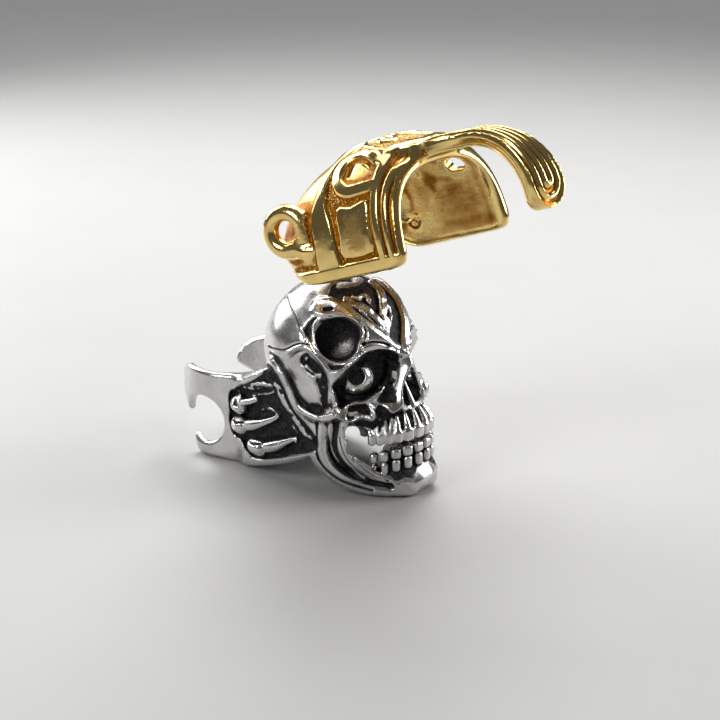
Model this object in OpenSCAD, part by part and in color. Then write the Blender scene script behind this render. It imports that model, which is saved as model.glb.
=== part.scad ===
// Skull ring with a lift-off helmet.
// Lying on its side: the finger hole runs straight up, the face looks along +X,
// and the origin is on the finger hole's axis at the edge the ring rests on.

/* [Band] */
// Radius of the finger hole
finger_r = 9.6; // [8:0.1:11]
// Wall of the band
band_wall = 1.5; // [1:0.1:2.5]
// Width of the band along the finger
band_w = 15.6; // [8:0.2:20]
// Angle from the face to each upper end of the band
end_angle = 143; // [120:1:165]
// Angle from the face to the middle of each eye-shaped cut-out
eye_angle = 93; // [80:1:110]
// Radius of each cut-out
eye_r = 4.2; // [2:0.1:5]
// Height of the middle of each cut-out
eye_z = 6.7; // [5:0.1:10]

/* [Skull] */
// Radius of the cranium
dome_r = 12.4; // [10:0.1:14]
// Distance from the finger hole's axis to the cranium's centre
dome_x = 21; // [18:0.1:24]
// Height of the cranium's centre
dome_z = 21.7; // [18:0.1:24]
// Height of the head from the chin to the crown
head_h = 34.1; // [28:0.1:40]
// Radius of each temple hollow
temple_r = 4.3; // [3:0.1:5]
// Radius of each eyeball
eyeball_r = 2.9; // [2:0.1:4]
// Width of an upper tooth
tooth_w = 2.1; // [1.5:0.1:3]
// Radius of a jaw ridge
ridge_r = 1.0; // [0.6:0.1:1.6]

/* [Helmet] */
// Half of the helmet's outer width
helm_half = 14.4; // [12:0.1:16]
// Wall of the helmet
helm_wall = 1.6; // [1:0.1:2.5]
// Height of the helmet's crown over its rim
helm_h = 19.3; // [16:0.1:24]
// Length of the helmet in front of its round back's centre
helm_front = 18; // [14:0.1:24]
// Backward lean of the helmet, as the skull's own axis leans
helm_lean = 20; // [0:1:30]
// Height of the plain edge around the rim
edge_h = 3.3; // [2:0.1:5]
// Radius of a side loop, to the middle of its bar
loop_r = 3.4; // [2:0.1:5]
// Radius of a side loop's bar
loop_bar = 1.35; // [0.8:0.05:2]
// Width over the side loops
helm_span = 31.4; // [28:0.1:36]
// Clearance between the helmet and the cranium
fit = 0.35; // [0.2:0.05:1]
// How far the helmet travels from its seat to the lifted place
lift = 19.6; // [10:0.1:30]
// Forward lean of that travel
lift_lean = 25.4; // [0:0.1:40]

/* [Hidden] */
band_r = finger_r + band_wall;
dome_c = [dome_x, 0, dome_z];
// The helmet's own origin: the rim plane under the middle of its sides
helm_o = [27.7, 0, 36.4];
fine = 96;

// A smooth point between b and c on the curve through a, b, c and d
function blend(a, b, c, d, t) =
    0.5 * ((2 * b) + (c - a) * t + (2 * a - 5 * b + 4 * c - d) * t * t
    + (3 * b - a - 3 * c + d) * t * t * t);

// The curve through the points p, with k steps between each two
function curve(p, k = 4) =
    let (n = len(p))
    [for (i = [0:n - 2], j = [0:k - 1])
        blend(p[max(i - 1, 0)], p[i], p[i + 1], p[min(i + 2, n - 1)], j / k),
     p[n - 1]];

function unit(v) = v / norm(v);

// The direction of a path at its point i
function along(p, i) = unit(p[min(i + 1, len(p) - 1)] - p[max(i - 1, 0)]);

// A bar swept along the path p; each point is [x, y, z, radius]
module bar(p, sides = 6, flat = 1) {
    n = len(p);
    xyz = [for (q = p) [q[0], q[1], q[2]]];
    rings = [for (i = [0:n - 1])
        let (t = along(xyz, i),
             s = unit(cross(t, abs(t[2]) > 0.9 ? [1, 0, 0] : [0, 0, 1])),
             u = cross(s, t))
        for (k = [0:sides - 1])
            xyz[i] + p[i][3] * (cos(360 * k / sides) * s * flat
            + sin(360 * k / sides) * u)];
    faces = concat(
        [[for (k = [sides - 1:-1:0]) k]],
        [for (i = [0:n - 2], k = [0:sides - 1])
            let (a = i * sides + k, b = i * sides + (k + 1) % sides)
            each [[a, b, a + sides], [b, b + sides, a + sides]]],
        [[for (k = [0:sides - 1]) (n - 1) * sides + k]]);
    polyhedron(rings, faces, convexity = 6);
}

// A solid through level sections; each level is [z, back x, front x, half width]
module levels(rows, sides = 28, power = 2.6) {
    n = len(rows);
    points = [for (r = rows, k = [0:sides - 1])
        let (a = 360 * k / sides, c = cos(a), s = sin(a),
             m = pow(pow(abs(c), power) + pow(abs(s), power), -1 / power))
        [(r[1] + r[2]) / 2 + (r[2] - r[1]) / 2 * c * m, r[3] * s * m, r[0]]];
    faces = concat(
        [[for (k = [0:sides - 1]) k]],
        [for (i = [0:n - 2], k = [0:sides - 1])
            let (a = i * sides + k, b = i * sides + (k + 1) % sides)
            each [[a, a + sides, b], [b, a + sides, b + sides]]],
        [[for (k = [sides - 1:-1:0]) (n - 1) * sides + k]]);
    polyhedron(points, faces, convexity = 6);
}

// Its children, once on each side of the face
module both() {
    children();
    mirror([0, 1, 0]) children();
}

// A ring sector round the finger, from angle a to angle b and from z0 to z1
module sector(a, b, z0, z1, r0 = 8, r1 = 14) {
    rotate([0, 0, a]) rotate_extrude(angle = b - a, $fn = fine)
        polygon([[r0, z0], [r1, z0], [r1, z1], [r0, z1]]);
}

module band_blank() {
    c = 0.35;
    rotate_extrude($fn = fine)
        polygon([[finger_r - 1, 0], [band_r - c, 0], [band_r, c], [band_r, band_w - c],
                 [band_r - c, band_w], [finger_r - 1, band_w]]);
}

// What is cut away at the back: the gap, the cut-outs and their slits
module band_cuts() {
    sector(end_angle, 360 - end_angle, -1, 30);
    sector(109, 251, -1, 7.4);
    both() {
        rotate([0, 0, eye_angle]) translate([5, 0, eye_z]) rotate([0, 90, 0])
            cylinder(r = eye_r, h = 10, $fn = 48);
        sector(eye_angle, 112, 4.9, 7.4);
        rotate([0, 0, 130]) translate([5, -2, 8.5]) rotate([90, 0, 90])
            linear_extrude(10) difference() {
                translate([0, 0]) square([12, 12]);
                circle(r = 7.2, $fn = 48);
            }
    }
}

// The shoulder from the band up to the side of the skull; each row is
// [distance forward, half width, lower edge, upper edge, half width inside]
module shoulder() {
    rows = [[5.2, 9.1, 0.3, band_w - 0.3, 5], [9.5, 11.4, 0.6, 17.2, 7.5],
            [14, 12.0, 2.2, 19.4, 8.8], [19.5, 11.9, 4.2, 21.0, 8.8], [24.2, 11.0, 6.6, 17, 8.4]];
    m = 6;
    points = [for (r = rows) each [[r[0], r[4], r[2]], [r[0], r[1] - 0.5, r[2]],
        [r[0], r[1], r[2] + 0.8], [r[0], r[1], r[3] - 0.8], [r[0], r[1] - 0.5, r[3]],
        [r[0], r[4], r[3]]]];
    faces = concat(
        [[for (k = [0:m - 1]) k]],
        [for (i = [0:len(rows) - 2], k = [0:m - 1])
            let (p = i * m + k, q = i * m + (k + 1) % m) each [[p, p + m, q], [q, p + m, q + m]]],
        [[for (k = [m - 1:-1:0]) (len(rows) - 1) * m + k]]);
    polyhedron(points, faces, convexity = 4);
}

// The recess in a shoulder, and the three finger bones that lie in it
module shoulder_recess() {
    bar([[8.6, 11.2, 9.3, 1.6], [10, 12.1, 9.3, 4.4], [12.6, 12.9, 9.8, 5.6],
         [16, 12.9, 10.6, 5.6], [19.2, 12.5, 12.5, 3.6]], 10, 0.28);
}

module finger_bones() {
    for (f = [[8.9, 13.2, 18.5, 14.5], [8.6, 9.2, 17.5, 9.6], [10.8, 5.0, 18.5, 5.8]])
        bar(curve([[f[0], 10.9, f[1], 0.5], [f[0] + 1.0, 11.25, f[1], 1.35],
             [f[0] + 2.4, 11.5, f[1] + 0.1, 1.0], [f[0] + 3.4, 11.6, f[1] + 0.2, 0.75],
             [f[0] + 4.6, 11.7, (f[1] + f[3]) / 2, 1.0],
             [f[2] - 1.5, 11.8, f[3], 0.8], [f[2], 11.6, f[3], 1.0]], 1));
}

// How far the point p is from the segment from a to b
function off_line(p, a, b) =
    let (t = max(0, min(1, ((p - a) * (b - a)) / ((b - a) * (b - a))))) norm(p - a - t * (b - a));

// How far the point p is from a path of points
function off_path(p, path) = min([for (i = [0:len(path) - 2]) off_line(p, path[i], path[i + 1])]);

function bell(x) = exp(-x * x);
// A hollow with steep walls and a flat floor
function pit(x) = 1 / (1 + pow(x, 8));

// The skull's raised lines, on one side: [height, half width, path]
skull_lines = [
    [1.5, 1.2, [[34.4, 0.6, 22.6], [33.6, 3.0, 24.4], [31.6, 6.4, 25.4]]],
    [1.0, 1.0, [[31.6, 6.4, 25.4], [29.4, 9.4, 23.4], [28.4, 10.8, 19.6], [28.8, 10.9, 15.6]]],
    [1.4, 1.1, [[34.6, 4.6, 14.6], [32.2, 8.2, 13.6], [28.6, 10.8, 13.7], [23, 11.9, 13.4]]],
    [0.8, 1.0, [[23, 11.9, 13.4], [18.6, 12.2, 15.6], [16.6, 12.4, 20.4]]],
    [1.5, 1.3, [[34.6, 0, 23], [36.2, 0, 19.6]]],
    [0.9, 0.9, [[36.0, 0.9, 20], [36.2, 2.8, 15.2], [37.2, 1.4, 13.4]]],
    [0.7, 0.9, [[33.8, 1.4, 24.8], [31.2, 3.2, 29], [26.6, 4.2, 33]]]];
// The skull's hollows, on one side: [depth, radius, centre]
skull_pits = [
    [4.6, 4.2, [33.6, 6.1, 19.4]], [3.4, temple_r, [28.2, 9.6, 26.7]],
    [1.8, 3.6, [22.2, 11.9, 18.4]], [3.2, 1.7, [36.2, 1.2, 15.9]], [2.2, 1.3, [36.0, 0.6, 18.3]],
    [1.8, 2.2, [34.4, 7.2, 12.2]]];
// The skull's level sections: [height, back, front, half width]
skull_levels = [[9.5, 24, 37.2, 5.2], [9.6, 22, 37.5, 5.8], [11.4, 16, 37.6, 7.2],
    [13.2, 12.2, 36.8, 9.4], [15.0, 10.6, 35.4, 11.0], [17.5, 9.4, 34.4, 11.9],
    [21.7, dome_x - dome_r, 33.8, dome_r], [25, 9.1, 33.0, 11.95], [27, 9.8, 32.2, 11.2],
    [29, 11, 31.0, 10.0], [31, 12.8, 29.2, 8.2], [32.5, 14.9, 27.1, 6.1],
    [33.5, 17.2, 24.8, 3.8], [34.05, 19.6, 22.4, 1.4]];

// How far the skull's surface stands out at the point p, on either side
function relief(p) =
    let (q = [p[0], abs(p[1]), p[2]],
         lines = [for (l = skull_lines) l[0] * bell(off_path(q, l[2]) / l[1])],
         pits = [for (h = skull_pits) -h[0] * pit(norm(q - h[2]) / h[1])],
         rim = 0.8 * bell((norm(q - skull_pits[1][2]) - temple_r - 0.7) / 0.7),
         eye = 3.6 * bell(norm(q - [33.6, 6.3, 19.4]) / (eyeball_r - 0.6)),
         tooth = (p[2] < 13.4 && p[0] > 30)
            ? 0.35 * cos(360 * atan2(p[1], p[0] - 32.6) / 19) : 0)
    max(lines) + min(pits) + rim + eye + tooth;

module cranium_and_face() {
    sides = 72;
    rows = curve(skull_levels, 3);
    n = len(rows);
    points = [for (r = rows, k = [0:sides - 1])
        let (t = 360 * k / sides, c = cos(t), s = sin(t),
             e = r[0] < 20 ? 2.4 : 2.0,
             m = pow(pow(abs(c), e) + pow(abs(s), e), -1 / e),
             p = [(r[1] + r[2]) / 2 + (r[2] - r[1]) / 2 * c * m, r[3] * s * m, r[0]],
             d = relief(p) * (r[0] < 9.7 || r[0] > 33.8 ? 0 : 1))
        p + d * unit([p[0] - dome_x, p[1], 0.6 * (p[2] - 20)])];
    faces = concat(
        [[for (k = [0:sides - 1]) k]],
        [for (i = [0:n - 2], k = [0:sides - 1])
            let (a = i * sides + k, b = i * sides + (k + 1) % sides)
            each [[a, a + sides, b], [b, a + sides, b + sides]]],
        [[for (k = [sides - 1:-1:0]) (n - 1) * sides + k]]);
    polyhedron(points, faces, convexity = 10);
}

module mandible() {
    levels([[0, 33.2, 37.8, 3.2], [0.8, 32.0, 38.9, 4.3], [2.4, 31.6, 39.6, 5.2],
            [4.6, 31.8, 39.6, 5.5], [6.4, 32.2, 38.6, 5.4], [8.2, 32.4, 37.8, 5.0]], 20, 2.4);
    both() {
        // The arm of the jaw, a flat bar on edge, with a ridge along each side of its groove
        bar(curve([[26.4, 9.0, 15.5, 2.9], [26.8, 9.3, 10.2, 2.8], [28.4, 8.8, 5.9, 2.8],
            [31.4, 6.8, 3.5, 2.9], [34.6, 4.0, 2.95, 2.9]], 2), 8, 0.42);
        bar(curve([[24.0, 9.9, 14.5, 1.1], [24.4, 10.5, 9.2, ridge_r],
            [26.6, 9.9, 4.2, ridge_r], [30.4, 7.8, 1.3, ridge_r], [35.2, 4.6, 1.0, ridge_r]], 2));
        bar(curve([[28.9, 9.5, 14.5, 0.95], [29.2, 10.0, 10.6, ridge_r],
            [30.6, 9.3, 7.2, ridge_r], [32.8, 7.0, 4.9, ridge_r], [35.8, 4.8, 4.2, ridge_r]], 2));
        bar(curve([[26.3, 9.7, 12.5, 0.8], [27.0, 10.4, 8.8, 0.85],
            [28.9, 9.6, 5.4, 0.85], [31.8, 7.4, 3.0, 0.85], [34.4, 5.6, 2.5, 0.7]], 2));
    }
}

// A row of teeth along the front of the jaw; up is 1 for the upper row, -1 for the lower
module teeth(z0, up, length, depth, half) {
    for (i = [-4:4]) {
        a = i * 19;
        x = 32.6 + depth * cos(a);
        y = half * sin(a);
        bar([[x + 0.2, y, z0, tooth_w * 0.46], [x + 0.2, y, z0 + up * 1.8, tooth_w * 0.5],
             [x - 0.25, y * 0.96, z0 + up * length, tooth_w * 0.3]]);
    }
}

// The whole head with its shoulders, at the size the named dimensions give
module head() {
    both() difference() {
        shoulder();
        shoulder_recess();
    }
    cranium_and_face();
    both() finger_bones();
    mandible();
    teeth(9.5, -1, 3.2, 4.9, 5.2);
}

// The finger's way: the round hole through the band, widening behind the skull above it
module finger_room() {
    rotate_extrude($fn = fine)
        polygon([[0, -1], [finger_r, -1], [finger_r, band_w + 0.4],
                 [finger_r + 1.2, band_w + 12], [finger_r + 1.2, head_h + 5], [0, head_h + 5]]);
}

module skull_ring() {
    color([0.72, 0.72, 0.74]) difference() {
        union() {
            difference() {
                band_blank();
                band_cuts();
            }
            resize([0, 0, head_h]) head();
        }
        finger_room();
    }
}

// Half width and height of the helmet at the distance u along it
function helm_a(u) = u > 0.7 ? helm_half : sqrt(max(helm_half * helm_half - pow(0.7 - u, 2), 1));
function helm_top(u) = helm_h * pow(max(1 - pow((u - 10) / (u < 10 ? 24.5 : 17), 2), 0.02),
    u < 10 ? 0.62 : 0.72);

// Where the outside is raised: the edge, the straps and the ridges at the opening
function raised(u, w) = w < edge_h ? 0.55 : u > 16.6 ? 0.7 : (u > 14.2 && u < 15.6) ? 0.5
    : (u > 3.4 && u < 6.4) ? 0.5 : 0;

// A point of the helmet's arch at u, for the angle a; d is the depth under the surface
function helm_point(u, a, d) =
    let (p = 2.7, c = cos(a), s = sin(a),
         m = pow(pow(abs(c), p) + pow(abs(s), p), -1 / p),
         w = helm_top(u) * s * m,
         k = d == 0 ? raised(u, w) - 0.55 : -d)
    [u, (helm_a(u) + k) * c * m, max((helm_top(u) + k) * s * m, 0)];

module helm_shell() {
    us = [-12.4, -11.6, -10.4, -8.6, -6.4, -4.2, -2, 0.7, 3.3, 3.5, 6.3, 6.5, 9.5, 12, 14.1, 14.3,
          15.5, 15.7, 16.5, 16.7, 17.6, helm_front + 0.5];
    as = [0, 5, 12.9, 13.4, 22, 32, 42, 52, 62, 72, 81, 90];
    arc = concat(as, [for (i = [len(as) - 2:-1:0]) 180 - as[i]]);
    n = len(us);
    m = len(arc);
    points = concat(
        [for (u = us, a = arc) helm_point(u, a, 0)],
        [for (u = us, a = arc) helm_point(u, a, helm_wall + 0.05)]);
    o = n * m;
    outer = [for (i = [0:n - 2], k = [0:m - 2])
        each [[i * m + k, i * m + m + k, i * m + k + 1],
              [i * m + k + 1, i * m + m + k, i * m + m + k + 1]]];
    inside = [for (f = outer) [f[0] + o, f[2] + o, f[1] + o]];
    rim = [for (i = [0:n - 2])
        each [[i * m, i * m + o, i * m + m], [i * m + m, i * m + o, i * m + m + o],
              [i * m + m - 1, i * m + 2 * m - 1, i * m + m - 1 + o],
              [i * m + 2 * m - 1, i * m + 2 * m - 1 + o, i * m + m - 1 + o]]];
    ends = [for (k = [0:m - 2])
        each [[k, k + 1, k + o], [k + 1, k + 1 + o, k + o],
              [(n - 1) * m + k, (n - 1) * m + k + o, (n - 1) * m + k + 1],
              [(n - 1) * m + k + 1, (n - 1) * m + k + o, (n - 1) * m + k + 1 + o]]];
    polyhedron(points, concat(outer, inside, rim, ends), convexity = 8);
}

// The fluted peak that reaches forward from the opening and curls down
module peak() {
    bar(curve([[15.5, 0, 15.9, 1.1], [19.5, 0, 15.6, 1.1], [24.5, 0, 15.5, 1.1],
               [29.5, 0, 14.4, 1.15], [33.2, 0, 11.4, 1.2], [34.6, 0, 7.6, 1.2],
               [34.0, 0, 4.0, 0.9]], 3), 10, 3.0);
    for (y = [-1.8, 0, 1.8])
        bar(curve([[17, y * 0.8, 16.6, 0.55], [24.5, y * 0.8, 16.4, 0.55], [30, y, 15.2, 0.6],
            [34, y * 1.2, 11.8, 0.65], [35.6, y * 1.4, 7.6, 0.65], [34.8, y * 1.4, 4.2, 0.5]], 3), 8);
}

module helmet_local() {
    difference() {
        union() {
            helm_shell();
            peak();
            both() translate([-4.2, 13.6, 9]) rotate([80, 0, 8])
                rotate_extrude($fn = 32) translate([loop_r, 0]) circle(r = loop_bar, $fn = 10);
        }
        translate([12.6, 8, 13.6]) rotate([-62, 0, 0]) cylinder(r = 1.25, h = 12, $fn = 32);
        both() translate([0.8, helm_half - helm_wall - 1.2, 5]) rotate([-90, 0, 0])
            cylinder(r = 1.1, h = 1.5, $fn = 32);
    }
}

// The room that the cranium takes up in the helmet, from lifted off to seated
module lift_room() {
    translate(dome_c) rotate([0, lift_lean, 0]) {
        translate([0, 0, -10]) cylinder(r = dome_r + fit, h = lift + 10, $fn = 72);
        translate([0, 0, lift]) sphere(r = dome_r + fit, $fn = 72);
    }
}

module helmet() {
    color([0.86, 0.66, 0.28]) resize([0, helm_span, 0]) difference() {
        translate(helm_o) rotate([0, -helm_lean, 0]) difference() {
            helmet_local();
            // The rim rises towards the nape, clear of the ring's shoulders
            translate([0, 20, 0]) rotate([90, 0, 0]) linear_extrude(40)
                polygon([[-1.5, -1], [-1.5, 0], [-16, 12.2], [-16, -1]]);
        }
        lift_room();
    }
}

skull_ring();
helmet();
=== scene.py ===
"""Sculpts a cast silver skull ring and its gold helmet, and sets them on a pale studio floor."""

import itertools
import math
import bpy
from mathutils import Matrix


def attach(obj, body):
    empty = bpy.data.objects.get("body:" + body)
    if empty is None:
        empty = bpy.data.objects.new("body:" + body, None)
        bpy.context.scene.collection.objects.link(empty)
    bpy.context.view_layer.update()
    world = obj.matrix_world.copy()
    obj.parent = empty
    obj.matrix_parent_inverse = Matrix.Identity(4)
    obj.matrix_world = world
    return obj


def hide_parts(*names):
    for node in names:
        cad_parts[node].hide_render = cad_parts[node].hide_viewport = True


bl_info = {
    "name": "Skull Ring with Helmet",
    "version": (1, 0, 0),
    "blender": (4, 5, 0),
    "location": "3D View > Sidebar > Skull Ring",
    "description": "A cast silver skull ring and the gold helmet that lifts off it",
    "category": "Add Mesh",
}

import bpy
import numpy as np
import openvdb
from bpy.props import FloatProperty, FloatVectorProperty, IntProperty, PointerProperty
from mathutils import Vector

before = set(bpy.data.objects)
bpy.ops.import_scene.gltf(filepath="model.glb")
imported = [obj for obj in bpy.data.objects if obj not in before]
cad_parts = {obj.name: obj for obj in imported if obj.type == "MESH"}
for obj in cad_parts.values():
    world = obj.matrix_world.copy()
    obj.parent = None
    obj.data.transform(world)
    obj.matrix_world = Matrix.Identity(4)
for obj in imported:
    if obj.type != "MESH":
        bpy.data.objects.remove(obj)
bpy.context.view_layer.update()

# One millimetre in metres: the shapes below are in millimetres, Blender's objects in metres
MM = 0.001
# Places are (forward, sideways, up). Shapes are made on the side y > 0 and mirrored, apart from
# the flame on the forehead and the hole in the helmet's far wall
# Lines on the sides are drawn as seen from here, lines on the front as seen from the core
VIEWER = (174.5, 191.1, 108.4)
CORE = (22.0, 0.0, 18.0)
# The corners of a box that holds any casting
EVERYWHERE = ((-99, -99, -99), (99, 99, 99))

# The skull's level sections: (height, back, front, half width)
CRANIUM = ((9.3, 23, 36.6, 5.4), (10.4, 18.5, 36.9, 6.6), (11.8, 15.2, 36.8, 8.0),
           (13.2, 12.2, 36.2, 9.6), (15.0, 10.6, 35.0, 11.1), (17.5, 9.4, 34.2, 12.0),
           (21.7, 8.6, 33.8, 12.4), (25, 9.1, 33.2, 11.95), (27, 9.8, 32.3, 11.2),
           (29, 11, 31.0, 10.05), (31, 12.8, 29.2, 8.2), (32.5, 14.9, 27.1, 6.1),
           (33.5, 17.2, 24.8, 3.8), (34.05, 19.9, 22.1, 1.1))
CHIN = ((0.0, 33.4, 37.4, 2.9), (0.7, 32.4, 38.7, 4.0), (2.0, 31.8, 39.5, 4.9),
        (3.4, 31.9, 39.6, 5.3), (4.8, 32.2, 38.6, 5.3), (6.4, 32.4, 37.5, 5.2),
        (8.0, 32.4, 37.2, 5.2))
# The shoulder between band and skull: (forward, half width, lower edge, upper edge, inside)
SHOULDER = ((2.0, 9.3, 0.3, 15.1, 5.0), (5.2, 9.7, 0.1, 15.4, 5.2), (7.4, 10.5, 0.1, 16.0, 5.8),
            (9.5, 11.35, 0.5, 17.0, 7.5), (14, 12.15, 2.0, 19.4, 8.8),
            (19.5, 12.0, 4.0, 21.4, 9.0), (25.0, 11.2, 6.8, 17, 9.0))
# The band's outline unrolled: (degrees from the face, height), and its round cut-out: the same
# for the middle, and the radius
BAND_OUTLINE = ((0, 0), (98, 0), (103, 0.5), (107, 2.2), (108.5, 4.2), (107.5, 5.0), (104, 5.2),
                (100, 7.2), (114.5, 8.6), (114.5, 7.6), (116, 7.0), (118.5, 7.1), (121.5, 7.9),
                (128, 8.9), (137, 9.9), (142, 10.6), (143, 11.4), (140, 12.6), (134, 14.0),
                (126, 15.0), (116, 15.6), (0, 15.6))
CUT_OUT = (93, 6.7, 4.2)

# Lines on the side of the head
BOWL_RIM = ((24.2, 9.9, 24.7), (25.0, 9.7, 23.7), (26.3, 9.0, 22.7), (28.1, 8.6, 22.7),
            (29.2, 7.6, 23.2), (29.8, 6.5, 24.4), (29.6, 5.7, 25.7), (30.0, 5.3, 27.0),
            (29.7, 5.2, 28.1), (28.9, 5.4, 29.1), (27.6, 5.8, 29.6), (26.2, 6.5, 29.7),
            (25.1, 7.4, 29.6), (24.3, 8.7, 29.7), (23.7, 9.4, 29.1), (23.5, 10.0, 27.9),
            (23.7, 10.1, 26.2))
TEMPLE_EDGE = ((14.3, 10.3, 22.5), (16.2, 11.3, 22.8), (18.8, 12.0, 23.2), (20.1, 12.1, 23.8),
               (21.4, 12.0, 24.7), (22.5, 11.7, 25.1), (23.7, 11.5, 25.0), (24.5, 11.1, 24.2),
               (25.6, 10.7, 23.1), (26.6, 10.9, 22.4), (27.6, 11.0, 21.7), (27.7, 11.0, 20.3),
               (28.2, 11.2, 19.4), (28.6, 11.2, 18.1), (28.5, 11.0, 16.1), (28.3, 10.7, 14.3))
TEMPLE_FOOT = ((14.9, 10.6, 20.9), (16.7, 11.7, 20.6), (18.1, 11.9, 19.6), (19.0, 11.9, 18.6),
               (19.8, 11.8, 17.2), (20.5, 11.7, 15.7), (21.3, 11.5, 14.5), (22.4, 11.3, 13.8),
               (23.8, 11.1, 13.4), (25.3, 10.8, 13.1), (27.2, 10.8, 13.7), (28.3, 10.7, 14.4))
BOWL_BRINK = ((21.7, 10.7, 27.7), (23.2, 11.1, 26.5), (23.9, 10.9, 25.5), (24.6, 10.4, 24.1))
SUTURE = ((13.4, 4.7, 30.3), (15.8, 7.0, 30.6), (17.5, 8.4, 30.1), (19.5, 9.6, 29.3),
          (20.9, 10.5, 28.3), (21.9, 10.9, 27.2), (22.7, 11.4, 26.4))
EYE_TOP = ((27.9, 11.0, 21.5), (28.5, 10.7, 21.9), (29.1, 9.5, 22.1), (29.7, 7.9, 22.9),
           (30.7, 6.9, 24.2), (32.1, 6.6, 25.2), (33.1, 4.5, 25.2), (33.8, 2.2, 24.2))
SOCKET = ((28.5, 11.0, 19.5), (29.3, 9.8, 21.0), (29.6, 7.3, 22.3), (31.3, 6.4, 24.2),
          (32.4, 6.0, 24.9), (33.1, 4.0, 24.7), (33.9, 2.0, 23.7), (33.7, 1.4, 22.1),
          (33.1, 1.1, 19.1), (32.5, 1.8, 18.0), (31.6, 2.6, 17.4), (31.0, 4.5, 16.7),
          (30.6, 6.1, 16.4), (30.2, 8.1, 16.7), (29.9, 9.7, 16.6), (29.6, 10.5, 16.2),
          (29.2, 10.9, 17.6), (29.0, 11.2, 18.8))
EYE_BAG = ((32.0, 1.8, 18.4), (31.4, 2.9, 17.2), (30.9, 4.6, 16.6), (30.3, 6.6, 16.6),
           (29.9, 9.4, 17.3))
LOWER_RIM = ((28.6, 11.5, 17.6), (28.7, 11.3, 16.8), (29.0, 11.1, 16.2), (29.7, 10.3, 15.6),
             (30.2, 9.5, 16.3), (30.7, 8.1, 16.3), (31.2, 6.4, 16.0), (31.3, 4.1, 16.6),
             (31.7, 2.2, 17.7))
CHEEK = ((31.4, 6.3, 15.9), (32.4, 6.3, 15.4), (33.6, 6.9, 14.5), (33.3, 6.9, 13.7),
         (33.1, 7.9, 14.1), (32.2, 8.6, 14.6), (31.7, 9.5, 14.1), (30.8, 10.0, 13.7),
         (29.4, 10.3, 13.9), (28.3, 10.7, 14.6))
CHEEK_PATCH = ((30.2, 9.5, 16.0), (30.8, 8.3, 16.1), (31.4, 6.6, 15.8), (32.3, 6.8, 15.3),
               (33.2, 7.3, 14.6), (32.5, 8.1, 14.7), (31.8, 8.7, 14.8), (31.4, 9.6, 14.2),
               (30.6, 10.1, 14.2), (30.1, 10.0, 14.8))
FINGER_RECESS = ((4.8, 10.0, 11.4), (5.3, 9.7, 12.8), (7.9, 10.6, 14.8), (10.6, 11.6, 16.2),
                 (13.1, 11.9, 17.9), (14.2, 12.0, 18.9), (15.3, 11.3, 20.4), (17.4, 11.8, 19.4),
                 (19.1, 11.9, 16.6), (20.3, 11.7, 14.0), (21.6, 11.4, 12.6), (23.3, 11.2, 11.4),
                 (24.6, 10.7, 9.4), (24.9, 10.7, 8.1), (23.6, 11.3, 6.9), (19.6, 11.9, 5.5),
                 (17.1, 11.9, 4.5), (13.1, 11.9, 3.2), (10.6, 11.6, 3.1), (8.9, 11.1, 4.0),
                 (8.1, 10.7, 4.9), (5.4, 9.7, 5.1), (4.9, 10.0, 6.7), (4.8, 10.0, 8.3),
                 (5.2, 9.8, 9.3))

# The broad arm of the brow, seen from the side
BROW_ARM = ((22.5, 8.9, 30.1), (21.9, 8.5, 30.7), (22.1, 7.2, 31.7), (23.3, 6.3, 32.1),
            (24.8, 5.9, 31.9), (26.7, 5.9, 31.0), (28.3, 5.5, 30.0), (29.6, 5.0, 29.1),
            (31.0, 4.1, 27.8), (32.2, 3.0, 26.6), (33.2, 1.8, 25.4), (33.6, 0.8, 24.5),
            (34.1, 1.6, 23.6), (33.4, 3.2, 24.4), (32.9, 5.5, 25.3), (32.1, 6.5, 25.3),
            (30.9, 6.3, 25.2), (30.4, 5.8, 25.9), (30.1, 5.4, 27.1), (29.3, 5.3, 28.2),
            (28.1, 5.8, 29.0), (26.8, 6.4, 29.7), (25.2, 7.7, 30.0), (24.2, 8.8, 30.0))
# The opening of the nose: (sideways, up)
NOSE_HOLE = ((-1.5, 21.2), (0.0, 21.3), (0.7, 20.7), (1.5, 19.5), (2.1, 18.2), (2.5, 16.8),
             (2.3, 15.7), (1.4, 15.1), (0.0, 15.0), (-1.5, 15.0))
EYE_CENTRE = (28.5, 5.3, 19.4)
EYE_RADIUS = 3.1
# The middle of the temple's bowl on the surface, and which way the bowl opens
BOWL_MOUTH = (26.9, 8.0, 26.2)
BOWL_WAY = (0.549, 0.726, 0.414)


def curve(path, steps=4, closed=False):
    """Points on the smooth curve through a path; each number of a point is carried along."""
    p = [np.array(point, float) for point in path]
    if closed:
        p = [p[-1]] + p + [p[0], p[1]]
    else:
        p = [p[0]] + p + [p[-1]]
    out = []
    for a, b, c, d in zip(p, p[1:], p[2:], p[3:]):
        for k in range(steps):
            t = k / steps
            out.append(0.5 * (2 * b + (c - a) * t + (2 * a - 5 * b + 4 * c - d) * t * t
                              + (3 * b - a - 3 * c + d) * t ** 3))
    out.append(p[1] if closed else p[-2])
    return np.array(out)


def join(a, b, soft):
    """Both solids together, with a fillet of the given softness where they meet."""
    h = np.maximum(soft - np.abs(a - b), 0) / soft
    return np.minimum(a, b) - h * h * soft / 4


def meet(a, b, soft):
    """What both solids share, with its edges rounded."""
    return -join(-a, -b, soft)


def step_up(x):
    """From 0 to 1 as x goes from 0 to 1, smoothly."""
    x = np.clip(x, 0, 1)
    return x * x * (3 - 2 * x)


def from_point(x, y, z, centre):
    """Distance from a point."""
    return np.sqrt((x - centre[0]) ** 2 + (y - centre[1]) ** 2 + (z - centre[2]) ** 2)


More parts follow.
